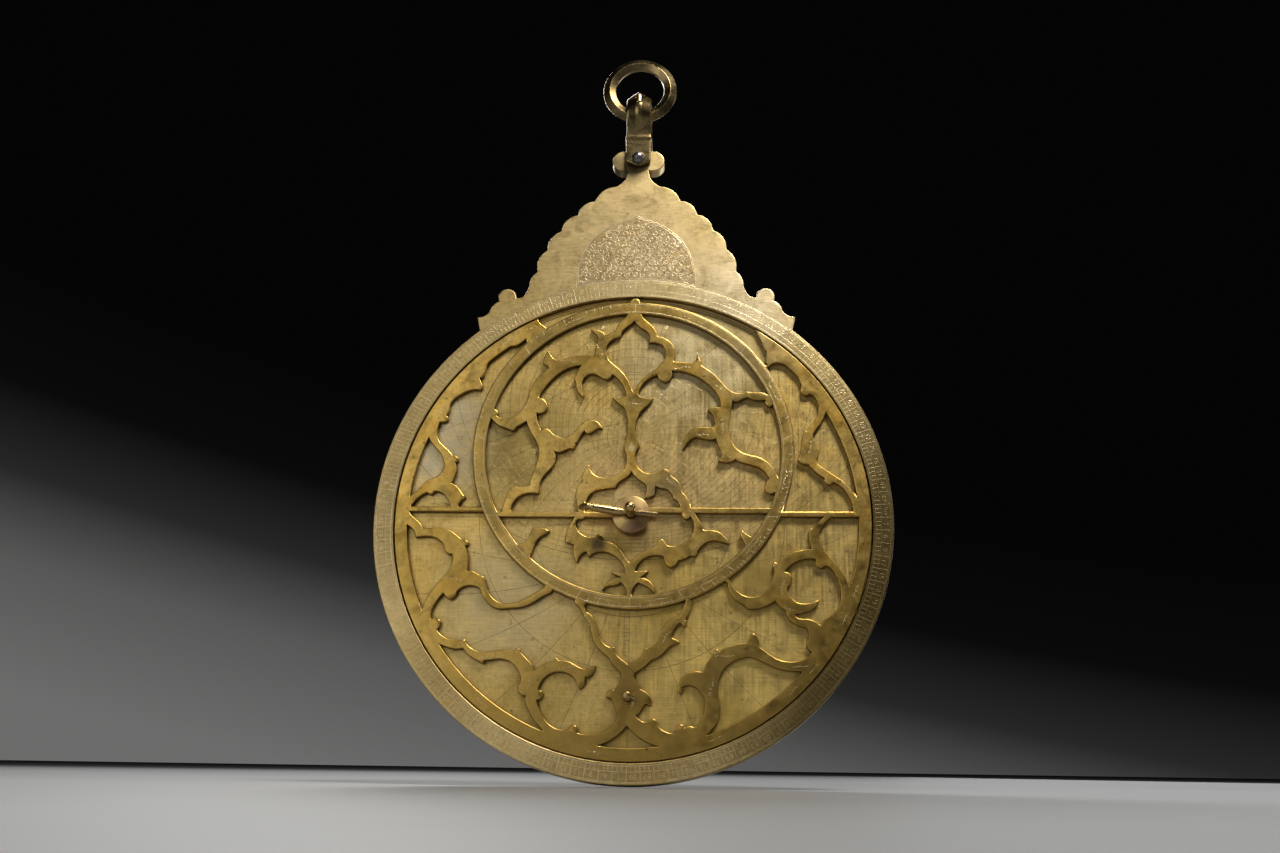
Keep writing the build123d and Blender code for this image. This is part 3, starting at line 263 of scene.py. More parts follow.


# Painted shade: the limb, and the figures engraved on it, darken to these tones towards the right and the
# bottom, along a slope with these shares of X and Z between its start and end in metres.
LIMB_PAINTED_SHADE_TONE = (0.105, 0.072, 0.022)
FIGURE_PAINTED_SHADE_TONE = (0.17, 0.125, 0.05)
LIMB_PAINTED_SHADE_SLOPE = ((1.0, -0.35), 0.117, 0.141)
# Patches on the limb and throne: painted light on the throne's middle, a painted highlight on its upper right
# shoulder, painted shadow of the shackle below it and on the throne's left lobe, and painted shade on the
# limb's left.
LIMB_PAINTED_LIGHT_AND_SHADOW = (
    (0, 104, 10, 46, 0.6, (0.66, 0.51, 0.27)),
    (40, 82, 6, 30, 0.7, (0.80, 0.67, 0.44)),
    (-3, 136.5, 2, 7.5, 0.95, (0.07, 0.05, 0.024)),
    (-10, 139, 2, 6.5, 0.85, (0.14, 0.105, 0.055)),
    (-86, 0, 6, 44, 0.85, (0.36, 0.26, 0.10)),
)
# Patches on the plate. The large silvery and golden ones are painted light and painted reflection, and the
# large dark one at the upper left is painted shade.
PLATE_PAINTED_LIGHT_AND_PATINA = (
    (-66, 28, 12, 24, 0.8, (0.54, 0.48, 0.34)),
    (-42, -30, 12, 30, 0.6, (0.54, 0.46, 0.27)),
    (-40, 24, 8, 28, 0.9, (0.27, 0.195, 0.062)),
    (33, 13, 6, 28, 0.7, (0.86, 0.62, 0.27)),
    (22, 58, 10, 34, 0.6, (0.64, 0.57, 0.38)),
    (2, 8, 10, 36, 0.55, (0.70, 0.50, 0.24)),
    (36, -54, 10, 46, 0.85, (0.95, 0.69, 0.21)),
    # Small dark brown patina; the ones at the pin and under the horse's neck are also painted shadow.
    (-5, -9, 1, 9, 0.9, (0.38, 0.24, 0.04)),
    (-14, 3, 1, 7, 0.6, (0.42, 0.28, 0.06)),
    (21, -2, 1, 6, 0.8, (0.28, 0.18, 0.05)),
    (9, -18, 1, 8, 0.7, (0.42, 0.27, 0.05)),
    (-24, -24, 1, 8, 0.7, (0.34, 0.22, 0.05)),
    (12, -34, 2, 12, 0.7, (0.40, 0.26, 0.05)),
    (-32, -62, 2, 16, 0.7, (0.36, 0.24, 0.05)),
    (46, -22, 2, 16, 0.7, (0.34, 0.22, 0.05)),
    (30, -66, 2, 14, 0.7, (0.40, 0.26, 0.05)),
    (-4, -74, 2, 10, 0.7, (0.34, 0.22, 0.04)),
)
# Patches on the rete: a greyer patch right of the hub, a painted dark reflection on the lower left arc under
# the horse's head, painted shadow of the horse and of the knob below it, painted light at the upper right and
# painted shade at the lower right.
RETE_PAINTED_LIGHT_SHADE_AND_TONE = (
    (11, 8, 2, 9, 0.7, (0.36, 0.29, 0.17)),
    (-11.3, -10.6, 1.4, 4.2, 0.9, (0.085, 0.068, 0.040)),
    (-16, -3, 0.5, 4, 0.5, (0.16, 0.12, 0.06)),
    (40, 62, 4, 22, 0.5, (0.70, 0.54, 0.28)),
    (-2, -60, 2, 12, 0.5, (0.20, 0.13, 0.045)),
    (34, -55, 4, 16, 0.4, (0.24, 0.17, 0.07)),
)
# Painted shade and painted dark reflection: the rete turns darker brown towards the bottom, most at the lower
# height and gone at the upper one, in metres.
RETE_PAINTED_LOW_SHADE = ((0.37, 0.24, 0.058), CZ - 0.060, CZ + 0.010)
ECLIPTIC_BAND = (0, ECLIPTIC_UP, 52.0, 56.15, 0.35, (0.33, 0.235, 0.085))
# Painted shadow of the horse and pin: the washer's lower half is browner.
WASHER_PAINTED_SHADOW = ((1, -6, 2.5, 5.5, 0.8, (0.30, 0.165, 0.11)),)
ENGRAVED = {"streak": (300, 60, 300), "rough": (0.36, 0.5)}

# The limb gets painted shade towards the right and bottom, and patches of painted light and shadow
M_LIMB = brass("aged_brass_limb", (0.65, 0.485, 0.215), (0.43, 0.305, 0.108), (0.30, 0.245, 0.105),
               streak=(260, 60, 1500), rough=(0.34, 0.50), stain=0.30, seed=1.7, grain=0.6,
               painted_shade=(LIMB_PAINTED_SHADE_TONE, *LIMB_PAINTED_SHADE_SLOPE), light_shade_and_stain_spots=LIMB_PAINTED_LIGHT_AND_SHADOW)
# The plate gets patches of painted light, shade and reflection as well as patina
M_PLATE = brass("brushed_brass_plate", (0.77, 0.56, 0.205), (0.52, 0.36, 0.11), (0.40, 0.27, 0.045),
                streak=(1300, 40, 50), turn=(0, -0.45, 0), rough=(0.32, 0.50), stain=0.6, seed=4.1, grain=1.8,
                hatch=0.6, brushed=0.5, light_shade_and_stain_spots=PLATE_PAINTED_LIGHT_AND_PATINA)
# The rete gets painted shade towards the bottom and patches of painted light and shade
M_RETE = brass("warm_brass_rete", (0.85, 0.57, 0.165), (0.48, 0.31, 0.070), (0.17, 0.125, 0.045),
               streak=(160, 60, 160), rough=(0.27, 0.46), stain=0.95, seed=7.3, dirt_and_shade=0.8, pits=0.8,
               painted_low_shade=RETE_PAINTED_LOW_SHADE, light_shade_and_stain_spots=RETE_PAINTED_LIGHT_SHADE_AND_TONE, band=ECLIPTIC_BAND)
M_HANGER = brass("worn_brass_hanger", (0.38, 0.29, 0.145), (0.20, 0.145, 0.062), (0.08, 0.058, 0.030),
                 streak=(120, 60, 300), rough=(0.20, 0.34), stain=0.6, seed=9.9, dirt_and_shade=0.8)
M_FIT = brass("polished_brass_fittings", (0.64, 0.46, 0.21), (0.42, 0.27, 0.10), (0.24, 0.16, 0.08),
              streak=(60, 400, 400), rough=(0.20, 0.36), stain=0.45, seed=12.2, dirt_and_shade=0.8)
# The washer's lower half gets painted shadow
M_WASHER = brass("coppery_washer", (0.64, 0.47, 0.19), (0.54, 0.32, 0.15), (0.46, 0.26, 0.16),
                 streak=(200, 60, 200), rough=(0.30, 0.46), stain=0.6, seed=15.0, light_shade_and_stain_spots=WASHER_PAINTED_SHADOW)
M_BACK = brass("aged_brass_back", (0.52, 0.40, 0.18), (0.36, 0.26, 0.10), (0.29, 0.24, 0.11),
               streak=(900, 60, 60), turn=(0, 0.5, 0), rough=(0.30, 0.48), stain=0.6, seed=18.4, hatch=0.25)
M_CUT = brass("engraved_brass", (0.84, 0.71, 0.46), (0.66, 0.53, 0.30), (0.42, 0.33, 0.17),
              stain=0.5, seed=21.1, dirt_and_shade=0.1, **ENGRAVED)
# The limb's figures get the same painted shade towards the right and bottom as the limb
M_LIMB_CUT = brass("engraved_limb", (0.92, 0.78, 0.52), (0.70, 0.57, 0.34), (0.38, 0.30, 0.15),
                   stain=0.85, seed=23.4, dirt_and_shade=0.1, painted_shade=(FIGURE_PAINTED_SHADE_TONE, *LIMB_PAINTED_SHADE_SLOPE), **ENGRAVED)
M_RETE_CUT = brass("engraved_rete", (0.84, 0.70, 0.45), (0.60, 0.47, 0.26), (0.32, 0.24, 0.11),
                   stain=0.85, seed=24.2, dirt_and_shade=0.1, **ENGRAVED)
M_FINE = brass("engraved_dark", (0.24, 0.175, 0.065), (0.15, 0.10, 0.035), (0.60, 0.50, 0.30),
               stain=0.9, seed=25.1, dirt_and_shade=0.2, **ENGRAVED)
M_GROUND = brass("stippled_ground", (0.45, 0.345, 0.195), (0.34, 0.26, 0.14), (0.22, 0.165, 0.09),
                 streak=(900, 60, 900), rough=(0.42, 0.58), stain=0.9, seed=28.4, dirt_and_shade=0.3, grain=3.0)
M_STEEL = steel("rivet_steel")


# ---------------- pieces from the frame
MERGE = 2e-7            # vertices nearer than this are one, in metres
FLAT = 2e-6             # how far a vertex of the flat front may lie off it, in metres
DEPTH = 0.9             # a rounded rim's depth as a share of its width
SHOULDER = 0.29         # how far across it its middle ring lies, as a share of both
LATHE_STEPS = 144


def shown(name, mesh, material):
    """A new object in the scene, in one material."""
    mesh.materials.append(material)
    obj = bpy.data.objects.new(name, mesh)
    bpy.context.scene.collection.objects.link(obj)
    return obj


def cad_mesh(node):
    """An editable copy of a CAD node's mesh with its doubled vertices merged."""
    bm = bmesh.new()
    bm.from_mesh(frame["nodes"][node].data)
    bmesh.ops.remove_doubles(bm, verts=bm.verts, dist=MERGE)
    return bm


def finished_mesh(bm, name):
    """The finished mesh of a bmesh, which is freed."""
    mesh = bpy.data.meshes.new(name)
    bm.to_mesh(mesh)
    bm.free()
    return mesh


def bridge(bm, a, b):
    """A closed band of faces between two rings of as many vertices."""
    for k in range(len(a)):
        j = (k + 1) % len(a)
        bm.faces.new((a[k], a[j], b[j], b[k]))


def smooth_shaded(obj, sharp):
    """Smooth shading that follows the large faces and breaks at edges over an angle in degrees."""
    obj.data.shade_smooth()
    obj.data.set_sharp_from_angle(angle=math.radians(sharp))
    obj.modifiers.new("faces", "WEIGHTED_NORMAL").keep_sharp = True


def filed_by_hand(obj, voxel):
    """Rounds a piece all over, on a grid of the given pitch in metres."""
    grid = obj.modifiers.new("grid", "REMESH")
    grid.mode = "VOXEL"
    grid.voxel_size = voxel
    grid.use_smooth_shade = True
    soft = obj.modifiers.new("soft", "SMOOTH")
    soft.factor = 0.5
    soft.iterations = 6


def front_loops(bm, y):
    """The flat front's faces, and its closed loops of vertices with the material on the left of each."""
    front = [f for f in bm.faces if f.normal.y < -0.9 and max(v.co.y for v in f.verts) < y + FLAT]
    known = set(front)
    step = {}
    for f in front:
        for loop in f.loops:
            if known.issuperset(loop.edge.link_faces):
                continue
            step.setdefault(loop.vert, []).append(loop.link_loop_next.vert)
    loops = []
    while step:
        start = next(iter(step))
        run = [start]
        while True:
            here = step[run[-1]]
            after = here.pop()
            if not here:
                del step[run[-1]]
            if after is start:
                break
            run.append(after)
        loops.append(run)
    return front, loops


def inset_loop(points, wide):
    """Points moved towards the material, less where the outline turns too tightly for it.

    A corner that turns towards the material uses up its two edges as it moves in, so it moves only as far
    as they allow. A sharp one keeps its full width, and the widths are then evened along the outline.
    """
    ahead = np.roll(points, -1, 0) - points
    length = np.maximum(np.hypot(ahead[:, 0], ahead[:, 1]), 1e-9)
    d = ahead / length[:, None]
    before = np.roll(d, 1, 0)
    cross = before[:, 0] * d[:, 1] - before[:, 1] * d[:, 0]
    half = np.arccos(np.clip((before * d).sum(1), -1, 1)) / 2
    slope = np.tan(np.minimum(half, 1.2))
    shrink = np.where(cross > 0, slope, -0.3 * slope)
    used = shrink + np.roll(shrink, -1)
    room = np.where(used > 1e-6, 0.8 * length / np.maximum(used, 1e-6), 1.0)
    at = np.minimum(room, np.roll(room, 1))
    at = np.where((half > 0.5) & (cross > 0), np.maximum(at, wide), at)
    at = np.minimum(at, wide)
    for _ in range(2):
        at = np.minimum(at, 0.5 * (np.roll(at, 1) + np.roll(at, -1)) + 0.25 * wide)
    lean = np.c_[-before[:, 1], before[:, 0]] + np.c_[-d[:, 1], d[:, 0]]
    lean /= np.maximum(np.hypot(lean[:, 0], lean[:, 1]), 1e-6)[:, None]
    reach = np.minimum(1 / np.maximum(np.cos(half), 0.3), 1.6)
    return points + lean * (at * reach)[:, None], at


def inside_loops(points, loops):
    """Which points lie inside an odd number of the loops."""
    hit = np.zeros(len(points), bool)
    for loop in loops:
        for (x0, z0), (x1, z1) in zip(loop, np.roll(loop, -1, 0)):
            if z0 == z1:
                continue
            over = (points[:, 1] > z0) != (points[:, 1] > z1)
            where = x0 + (points[:, 1] - z0) * (x1 - x0) / (z1 - z0)
            hit ^= over & (points[:, 0] < where)
    return hit


def rounded_rim(bm, run, inset, at, y):
    """Two bands of faces from the wall round to the front."""
    middle = []
    top = []
    for v, q, w in zip(run, inset, at):
        p = np.array((v.co.x, v.co.z))
        m = p + (q - p) * SHOULDER
        middle.append(bm.verts.new((m[0], y + SHOULDER * w * DEPTH, m[1])))
        top.append(bm.verts.new((q[0], y, q[1])))
    for v, w in zip(run, at):
        v.co.y = y + w * DEPTH
    bridge(bm, run, middle)
    bridge(bm, middle, top)
    return top


def fill_front(bm, rings, outlines, y):
    """The front's triangles between the rings, with the pierced places left open."""
    flat = [v for ring in rings for v in ring]
    edges = []
    base = 0
    for ring in rings:
        n = len(ring)
        edges += [(base + k, base + (k + 1) % n) for k in range(n)]
        base += n
    coords = [Vector((v.co.x / MM, v.co.z / MM)) for v in flat]
    points, _, triangles, sources = geometry.delaunay_2d_cdt(coords, edges, [], 0, 1e-5)[:4]
    mids = np.array([(sum(points[i].x for i in t) / 3, sum(points[i].y for i in t) / 3) for t in triangles])
    verts = []
    for p, source in zip(points, sources):
        verts.append(flat[source[0]] if source else bm.verts.new((p.x * MM, y, p.y * MM)))
    for t, solid in zip(triangles, inside_loops(mids * MM, outlines)):
        corner = [verts[i] for i in t]
        if solid and len(set(corner)) == 3 and not bm.faces.get(corner):
            f = bm.faces.new(corner)
            f.normal_update()
            if f.normal.y > 0:
                f.normal_flip()


def eased_front(node, body, material, wide_at):
    """A copy of a flat pierced plate whose front edges are rounded, which stands for that node."""
    bm = cad_mesh(node)
    bm.normal_update()
    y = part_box(node)[0].y
    front, loops = front_loops(bm, y)
    insets = []
    for run in loops:
        points = np.array([(v.co.x, v.co.z) for v in run])
        insets.append(inset_loop(points, np.array([wide_at(x, z) for x, z in points])))
    bmesh.ops.delete(bm, geom=front, context="FACES_ONLY")
    rings = [rounded_rim(bm, run, inset, at, y) for run, (inset, at) in zip(loops, insets)]
    fill_front(bm, rings, [inset for inset, _ in insets], y)
    obj = shown(node + "_eased", finished_mesh(bm, node + "_eased"), material)
    smooth_shaded(obj, 52)
    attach(obj, body)
    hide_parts(node)


def softened(node, body, material, width, segments=2, angle=38.0, choose=None):
    """A copy of a CAD node with its edges eased, which stands for that node."""
    bm = cad_mesh(node)
    bmesh.ops.dissolve_degenerate(bm, edges=bm.edges, dist=1e-5)
    bm.normal_update()
    layer = bm.edges.layers.float.new("bevel_weight_edge")
    for e in bm.edges:
        if len(e.link_faces) == 2 and e.calc_face_angle(0.0) > math.radians(angle):
            e[layer] = 1.0 if choose is None else choose(e)
    obj = shown(node + "_eased", finished_mesh(bm, node + "_eased"), material)
    bevel = obj.modifiers.new("ease", "BEVEL")
    bevel.limit_method = "WEIGHT"
    bevel.width = width
    bevel.segments = segments
    bevel.use_clamp_overlap = False
    bevel.miter_outer = "MITER_SHARP"
    smooth_shaded(obj, 32)
    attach(obj, body)
    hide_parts(node)
    return obj


def dress(node, material):
    """Puts a material on a CAD node that is shown as it is."""
    o = frame["nodes"][node]
    o.data.materials.clear()
    o.data.materials.append(material)


def turned(node, body, material, profile, y0, cz):
    """A lathe form about a Y axis that stands for a node. The profile is (radius, depth) pairs in mm."""
    bm = bmesh.new()
    rings = []
    for a in (2 * math.pi * k / LATHE_STEPS for k in range(LATHE_STEPS)):
        rings.append([bm.verts.new((r * MM * math.cos(a), y0 + d * MM, cz + r * MM * math.sin(a)))
                      for r, d in profile])
    for here, after in zip(rings, rings[1:] + rings[:1]):
        bridge(bm, here, after)
    bmesh.ops.recalc_face_normals(bm, faces=bm.faces)
    obj = shown(node + "_turned", finished_mesh(bm, node + "_turned"), material)
    bevel = obj.modifiers.new("ease", "BEVEL")
    bevel.width = 0.00030
    bevel.segments = 3
    bevel.limit_method = "ANGLE"
    bevel.angle_limit = math.radians(14)
    obj.data.shade_smooth()
    obj.modifiers.new("faces", "WEIGHTED_NORMAL")
    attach(obj, body)
    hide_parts(node)


# The horse's outline in mm: distance along it from the pole, with the height of its top over the face
# it lies on, the height of its underside, and its half thickness
HORSE_TOP = ((-18.0, -17.9, -17.2, -16.1, -15.2, -14.5, -14.0, -13.6, -12.0, -9.7, -7.0, -4.5, -2.6, 2.0, 8.8,
              9.4, 9.7),
             (2.9, 3.35, 4.2, 5.15, 5.8, 6.6, 6.2, 5.75, 5.25, 4.4, 3.45, 2.75, 2.45, 2.3, 2.1, 1.75, 1.15))
HORSE_UNDER = ((-18.0, -17.4, -16.5, -15.3, -14.1, -12.4, -10.3, -7.7, -5.2, -2.6, 8.9, 9.5, 9.7),
               (2.6, 2.2, 2.4, 2.95, 3.0, 2.5, 1.6, 0.65, 0.1, 0.0, 0.0, 0.45, 0.95))
HORSE_HALF = ((-18.0, -17.2, -15.7, -14.3, -13.4, -9.0, -4.6, -3.4, -2.7, -2.0, 8.8, 9.7),
              (0.55, 1.0, 1.35, 1.05, 1.2, 1.4, 1.35, 1.15, 0.8, 0.76, 0.76, 0.45))


def filed_horse():
    """The wedge through the pin: a flat shank that swells into an oval neck, a collar and a horse's head."""
    slide = next(j for j in frame["record"]["behaviour"]["joints"] if j["name"] == "horse_slide")
    along = -Vector(slide["axis"]).normalized()
    side = along.cross(Vector((0, -1, 0)))
    foot = Vector((0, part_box("horse")[1].y, CZ))

    def at(x, height, across):
        return foot + (along * x + side * across + Vector((0, -height, 0))) * MM

    bm = bmesh.new()
    rings = []
    n = 32
    for x in np.arange(-18.0, 9.71, 0.2):
        bead = 0.20 * math.exp(-((x + 12.9) / 0.32) ** 2) + 0.12 * math.exp(-((x + 4.2) / 0.25) ** 2)
        low = np.interp(x, *HORSE_UNDER) - (bead if x < -10 else 0)
        high = np.interp(x, *HORSE_TOP) + bead
        wide = np.interp(x, *HORSE_HALF) + bead
        power = 2 / np.interp(x, (-3.6, -2.2), (2.3, 6.0))      # from an oval section to a squarish one
        ring = []
        for k in range(n):
            c, d = math.cos(2 * math.pi * k / n), math.sin(2 * math.pi * k / n)
            h = (low + high) / 2 + math.copysign(abs(c) ** power, c) * (high - low) / 2
            ring.append(bm.verts.new(at(x, h, math.copysign(abs(d) ** power, d) * wide)))
        rings.append(ring)
    for a, b in zip(rings[:-1], rings[1:]):
        bridge(bm, a, b)
    bm.faces.new(rings[0])
    bm.faces.new(rings[-1])
    for across in (-1.05, 1.05):
        eye = Matrix.Translation(at(-15.8, 4.75, across))
        bmesh.ops.create_icosphere(bm, subdivisions=2, radius=0.42 * MM, matrix=eye)
    bmesh.ops.recalc_face_normals(bm, faces=bm.faces)
    obj = shown("horse_filed", finished_mesh(bm, "horse_filed"), M_FIT)
    filed_by_hand(obj, 0.00010)
    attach(obj, "horse")
    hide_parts("horse")


def rete_width(x, z):
    """A wide bevel on the ecliptic ring's outer edge and a fine one elsewhere, in metres."""
    far = math.hypot(x, z - CZ - ECLIPTIC_UP * MM)
    return 0.00055 if abs(far - ECLIPTIC_OUT * MM) < 3e-5 else 0.00030


def shackle_edges(e):
    """The keel down the barrel is rubbed nearly round and the other edges are crisp."""
    on_keel = max(abs(v.co.x) for v in e.verts) < 1e-5
    return 1.0 if on_keel and max(v.co.z for v in e.verts) < RING_LO.z + 0.004 else 0.14


def rule_edges(e):
    """Only the alidade's outer edges are eased."""
    return 1.0 if min(v.co.y for v in e.verts) > RULE_Y - 1e-6 else 0.0


eased_front("rete", "rete", M_RETE, rete_width)
eased_front("limb_and_throne", "mater", M_LIMB, lambda x, z: 0.00028)
turned("suspension_ring", "ring", M_HANGER,
       [(RING_OUT - 5.0, -0.6), (RING_OUT - 2.5, -RING_DEEP), (RING_OUT, -0.25), (RING_OUT, 0.25),
        (RING_OUT - 2.5, RING_DEEP), (RING_OUT - 5.0, 0.6)],
       0.0, (RING_LO.z + RING_HI.z) / 2)
shackle = softened("shackle", "swivel", M_HANGER, 0.00170, 4, 24.0, shackle_edges)
filed_by_hand(shackle, 0.00020)
filed_horse()
softened("pole_pin", "pole", M_FIT, 0.00015)
turned("pole_washer", "pole", M_WASHER,
       [(1.75, 0.0), (1.75, -WASHER_DEEP), (3.4, -WASHER_DEEP), (WASHER_OUT, 0.6 - WASHER_DEEP),
        (WASHER_OUT, 0.0)],
       WASHER_HI.y, CZ)
softened("rete_knob", "rete", M_FIT, 0.00015)
softened("alidade_bar", "alidade", M_FIT, 0.00035, choose=rule_edges)
for vane in ("sight_vane_upper", "sight_vane_lower"):
    softened(vane, "alidade", M_FIT, 0.00025)
dress("back_plate", M_BACK)
for index in range(1, 7):
    dress("climate_plate_%d" % index, M_PLATE)
dress("shackle_rivet", M_STEEL)
dress("vane_rivets", M_FIT)


# ---------------- engraving
def polar(r, degrees, cx=0.0, cz=0.0):
    t = math.radians(degrees)
    return cx + r * math.cos(t), cz + r * math.sin(t)


def bow(cx, cz, r, a0, a1, n):
    """Points along an arc from one angle to another in degrees, in n steps."""
    return [polar(r, a0 + (a1 - a0) * k / n, cx, cz) for k in range(n + 1)]


def circle_points(cx, cz, r, n):
    t = np.linspace(0, 2 * math.pi, n, endpoint=False)
    return np.c_[cx + r * np.cos(t), cz + r * np.sin(t)]


# The strokes of 0 to 9, in a cell one unit high
DIGITS = [
    [bow(0.3, 0.5, 0.3, 90, 450, 10)],
    [[(0.15, 0.75), (0.35, 1.0), (0.35, 0.0)]],
    [bow(0.3, 0.72, 0.27, 160, -20, 6) + [(0.05, 0.0), (0.6, 0.0)]],
    [bow(0.27, 0.75, 0.24, 150, -80, 6), bow(0.27, 0.26, 0.27, 80, -150, 6)],
    [[(0.45, 0.0), (0.45, 1.0), (0.0, 0.35), (0.62, 0.35)]],
    [[(0.55, 1.0), (0.12, 1.0), (0.08, 0.55)], bow(0.27, 0.3, 0.3, 110, -150, 7)],
    [[(0.45, 1.0), (0.12, 0.62), (0.02, 0.3)], bow(0.3, 0.28, 0.28, 0, 360, 10)],
    [[(0.0, 1.0), (0.6, 1.0), (0.2, 0.0)]],
    [bow(0.3, 0.75, 0.24, 0, 360, 9), bow(0.3, 0.26, 0.27, 0, 360, 9)],
    [bow(0.3, 0.7, 0.28, 0, 360, 10), [(0.58, 0.7), (0.5, 0.3), (0.2, 0.0)]],
]


class Cuts:
    """Engraved lines on one flat face, as thin V-section ribbons in one mesh, in mm from the pole."""

    def __init__(self, y, side, proud=0.020, low=0.004):
        self.y = y
        self.side = side
        self.proud = proud
        self.low = low
        self.verts = []
        self.faces = []

    def place(self, x, z, height):
        return (x * MM, self.y + self.side * height * MM, z * MM + CZ)

    def line(self, pts, width, closed=False, taper=0.0):
        """A ribbon along the points, narrowed towards both ends over the given share of its length."""
        pts = np.asarray(pts, float)
        n = len(pts)
        if closed:
            tang = np.roll(pts, -1, 0) - np.roll(pts, 1, 0)
        else:
            tang = np.gradient(pts, axis=0)
        tang /= np.maximum(np.hypot(tang[:, 0], tang[:, 1]), 1e-9)[:, None]
        normal = np.c_[-tang[:, 1], tang[:, 0]]
        half = np.full(n, width / 2)
        if taper:
            s = np.linspace(0, 1, n)
            half = half * np.clip(np.minimum(s, 1 - s) / taper, 0.25, 1.0)
        left = pts + normal * half[:, None]
        right = pts - normal * half[:, None]
        base = len(self.verts)
        for edge, middle, other in zip(left, pts, right):
            self.verts.append(self.place(*edge, self.proud))
            self.verts.append(self.place(*middle, self.low))
            self.verts.append(self.place(*other, self.proud))
        for k in range(n if closed else n - 1):
            a = base + 3 * k
            b = base + 3 * ((k + 1) % n)
            for face in ((a, a + 1, b + 1, b), (a + 1, a + 2, b + 2, b + 1)):
                self.faces.append(face if self.side < 0 else face[::-1])

    def ring(self, r, width, step=1.0, cx=0.0, cz=0.0):
        """A full circle with a point at each step in degrees."""
        t = np.radians(np.linspace(0, 360, int(360 / step) + 1))[:-1]
        self.line(np.c_[cx + r * np.cos(t), cz + r * np.sin(t)], width, closed=True)

    def arc(self, r, a0, a1, width):
        """A part of a circle about the pole."""
        t = np.radians(np.linspace(a0, a1, int((a1 - a0) / 1.5) + 1))
        self.line(np.c_[r * np.cos(t), r * np.sin(t)], width)

    def tick(self, angle, r0, r1, width, cx=0.0, cz=0.0):
        """A straight line along a radius."""
        self.line([polar(r0, angle, cx, cz), polar(r1, angle, cx, cz)], width)

    def cross(self, r0, r1, width):
        """The upright and level lines through the pole, left out near it."""
        for x, z in ((0, -1), (0, 1), (-1, 0), (1, 0)):
            self.line([(x * r0, z * r0), (x * r1, z * r1)], width)

    def kept(self, circle, inside, width):
        """The stretches of a circle whose points pass the test."""
        run = []
        for x, z in [*circle, circle[0]]:
            if inside(x, z):
                run.append((x, z))
                continue
            if len(run) > 1:
                self.line(run, width)
            run = []
        if len(run) > 1:
            self.line(run, width)

    def glyph(self, strokes, x, z, angle, height, width):
        """Strokes drawn in a unit cell, centred at x, z, with their up direction at the angle."""
        up = polar(1.0, angle)
        along = (up[1], -up[0])
        for stroke in strokes:
            pts = [(x + ((u - 0.3) * along[0] + (v - 0.5) * up[0]) * height,
                    z + ((u - 0.3) * along[1] + (v - 0.5) * up[1]) * height) for u, v in stroke]
            self.line(pts, width)

    def number(self, value, x, z, angle, height, width):
        text = str(value)
        up = polar(1.0, angle)
        for k, digit in enumerate(text):
            s = (k - (len(text) - 1) / 2) * 0.85 * height
            self.glyph(DIGITS[int(digit)], x + up[1] * s, z - up[0] * s, angle, height, width)

    def make(self, name, body, material):
        mesh = bpy.data.meshes.new(name)
        mesh.from_pydata(self.verts, [], self.faces)
        obj = shown(name, mesh, material)
        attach(obj, body)


def flourish(cuts, rng, x, z, angle, length, height, width=0.18):
    """A run of small pen-like strokes that spell nothing."""
    along = polar(1.0, angle)
    up = (-along[1], along[0])
    s = -length / 2
    while s < length / 2:
        kind = rng.random()
        h = height * rng.uniform(0.6, 1.0)
        if kind < 0.35:
            pts = bow(0, 0, h * 0.42, 200, 360, 5)
        elif kind < 0.6:
            pts = [(-h * 0.1, -h * 0.45), (0, h * 0.1), (h * 0.08, h * 0.5)]
        elif kind < 0.85:
            pts = bow(0, 0, h * 0.3, 100, 330, 5) + [(h * 0.5, -h * 0.3)]
        else:
            pts = [(-h * 0.45, -h * 0.2), (0, -h * 0.35), (h * 0.45, -h * 0.15)]
        place = [(x + along[0] * (s + u) + up[0] * v, z + along[1] * (s + u) + up[1] * v) for u, v in pts]
        cuts.line(place, width, taper=0.3)
        s += height * rng.uniform(0.55, 0.95)


LIMB_IN = 83.85         # the limb's innermost line
DEGREES_OUT = 85.75     # outer ends of the single degrees
FIGURES_OUT = 88.95     # outer ends of the lines between the figures
RIM_LINE = 89.35


def engrave_limb():
    """A circle of degrees, with a figure in each cell of three."""
    cuts = Cuts(LIMB_Y, -1)
    for r, w in ((LIMB_IN, 0.18), (DEGREES_OUT, 0.12), (FIGURES_OUT, 0.16), (RIM_LINE, 0.12)):
        cuts.ring(r, w)
    tick_in = LIMB_IN + 0.05
    for k in range(360):
        if k % 3:
            cuts.tick(k, tick_in, DEGREES_OUT, 0.14)
        else:
            cuts.tick(k, tick_in, FIGURES_OUT, 0.18)
            a = k + 1.5
            cuts.number((90 - k) % 90 or 90, *polar((DEGREES_OUT + FIGURES_OUT) / 2, a), a, 1.6, 0.16)
    cuts.make("limb_scale", "mater", M_LIMB_CUT)


PANEL_HALF = 21.9       # half the width of the throne's panel
PANEL_FOOT = 89.9       # radius of its lower edge about the pole


def panel_base(x):
    """The panel's lower edge, an arc about the pole."""
    return math.sqrt(PANEL_FOOT ** 2 - x * x)


def arch_top(x):
    """Height of the panel's pointed arch at a distance from the middle line, with its knots blended."""
    if x > PANEL_HALF:
        return None
    xs = (0.0, 1.2, 2.8, 7.0, 11.5, 16.0, 19.0, 20.6, 21.4, 21.8, PANEL_HALF)
    zs = (117.0, 115.9, 115.2, 113.6, 111.2, 107.4, 102.9, 99.0, 96.0, 92.0, 88.5)
    blend = min(1.0, PANEL_HALF - x) * np.linspace(-1, 1, 7)
    return float(np.mean(np.interp(abs(x + blend), xs, zs)))


def in_panel(x, z, margin):
    top = arch_top(abs(x) + margin * 0.8)
    return top is not None and panel_base(x) + margin < z < top - margin


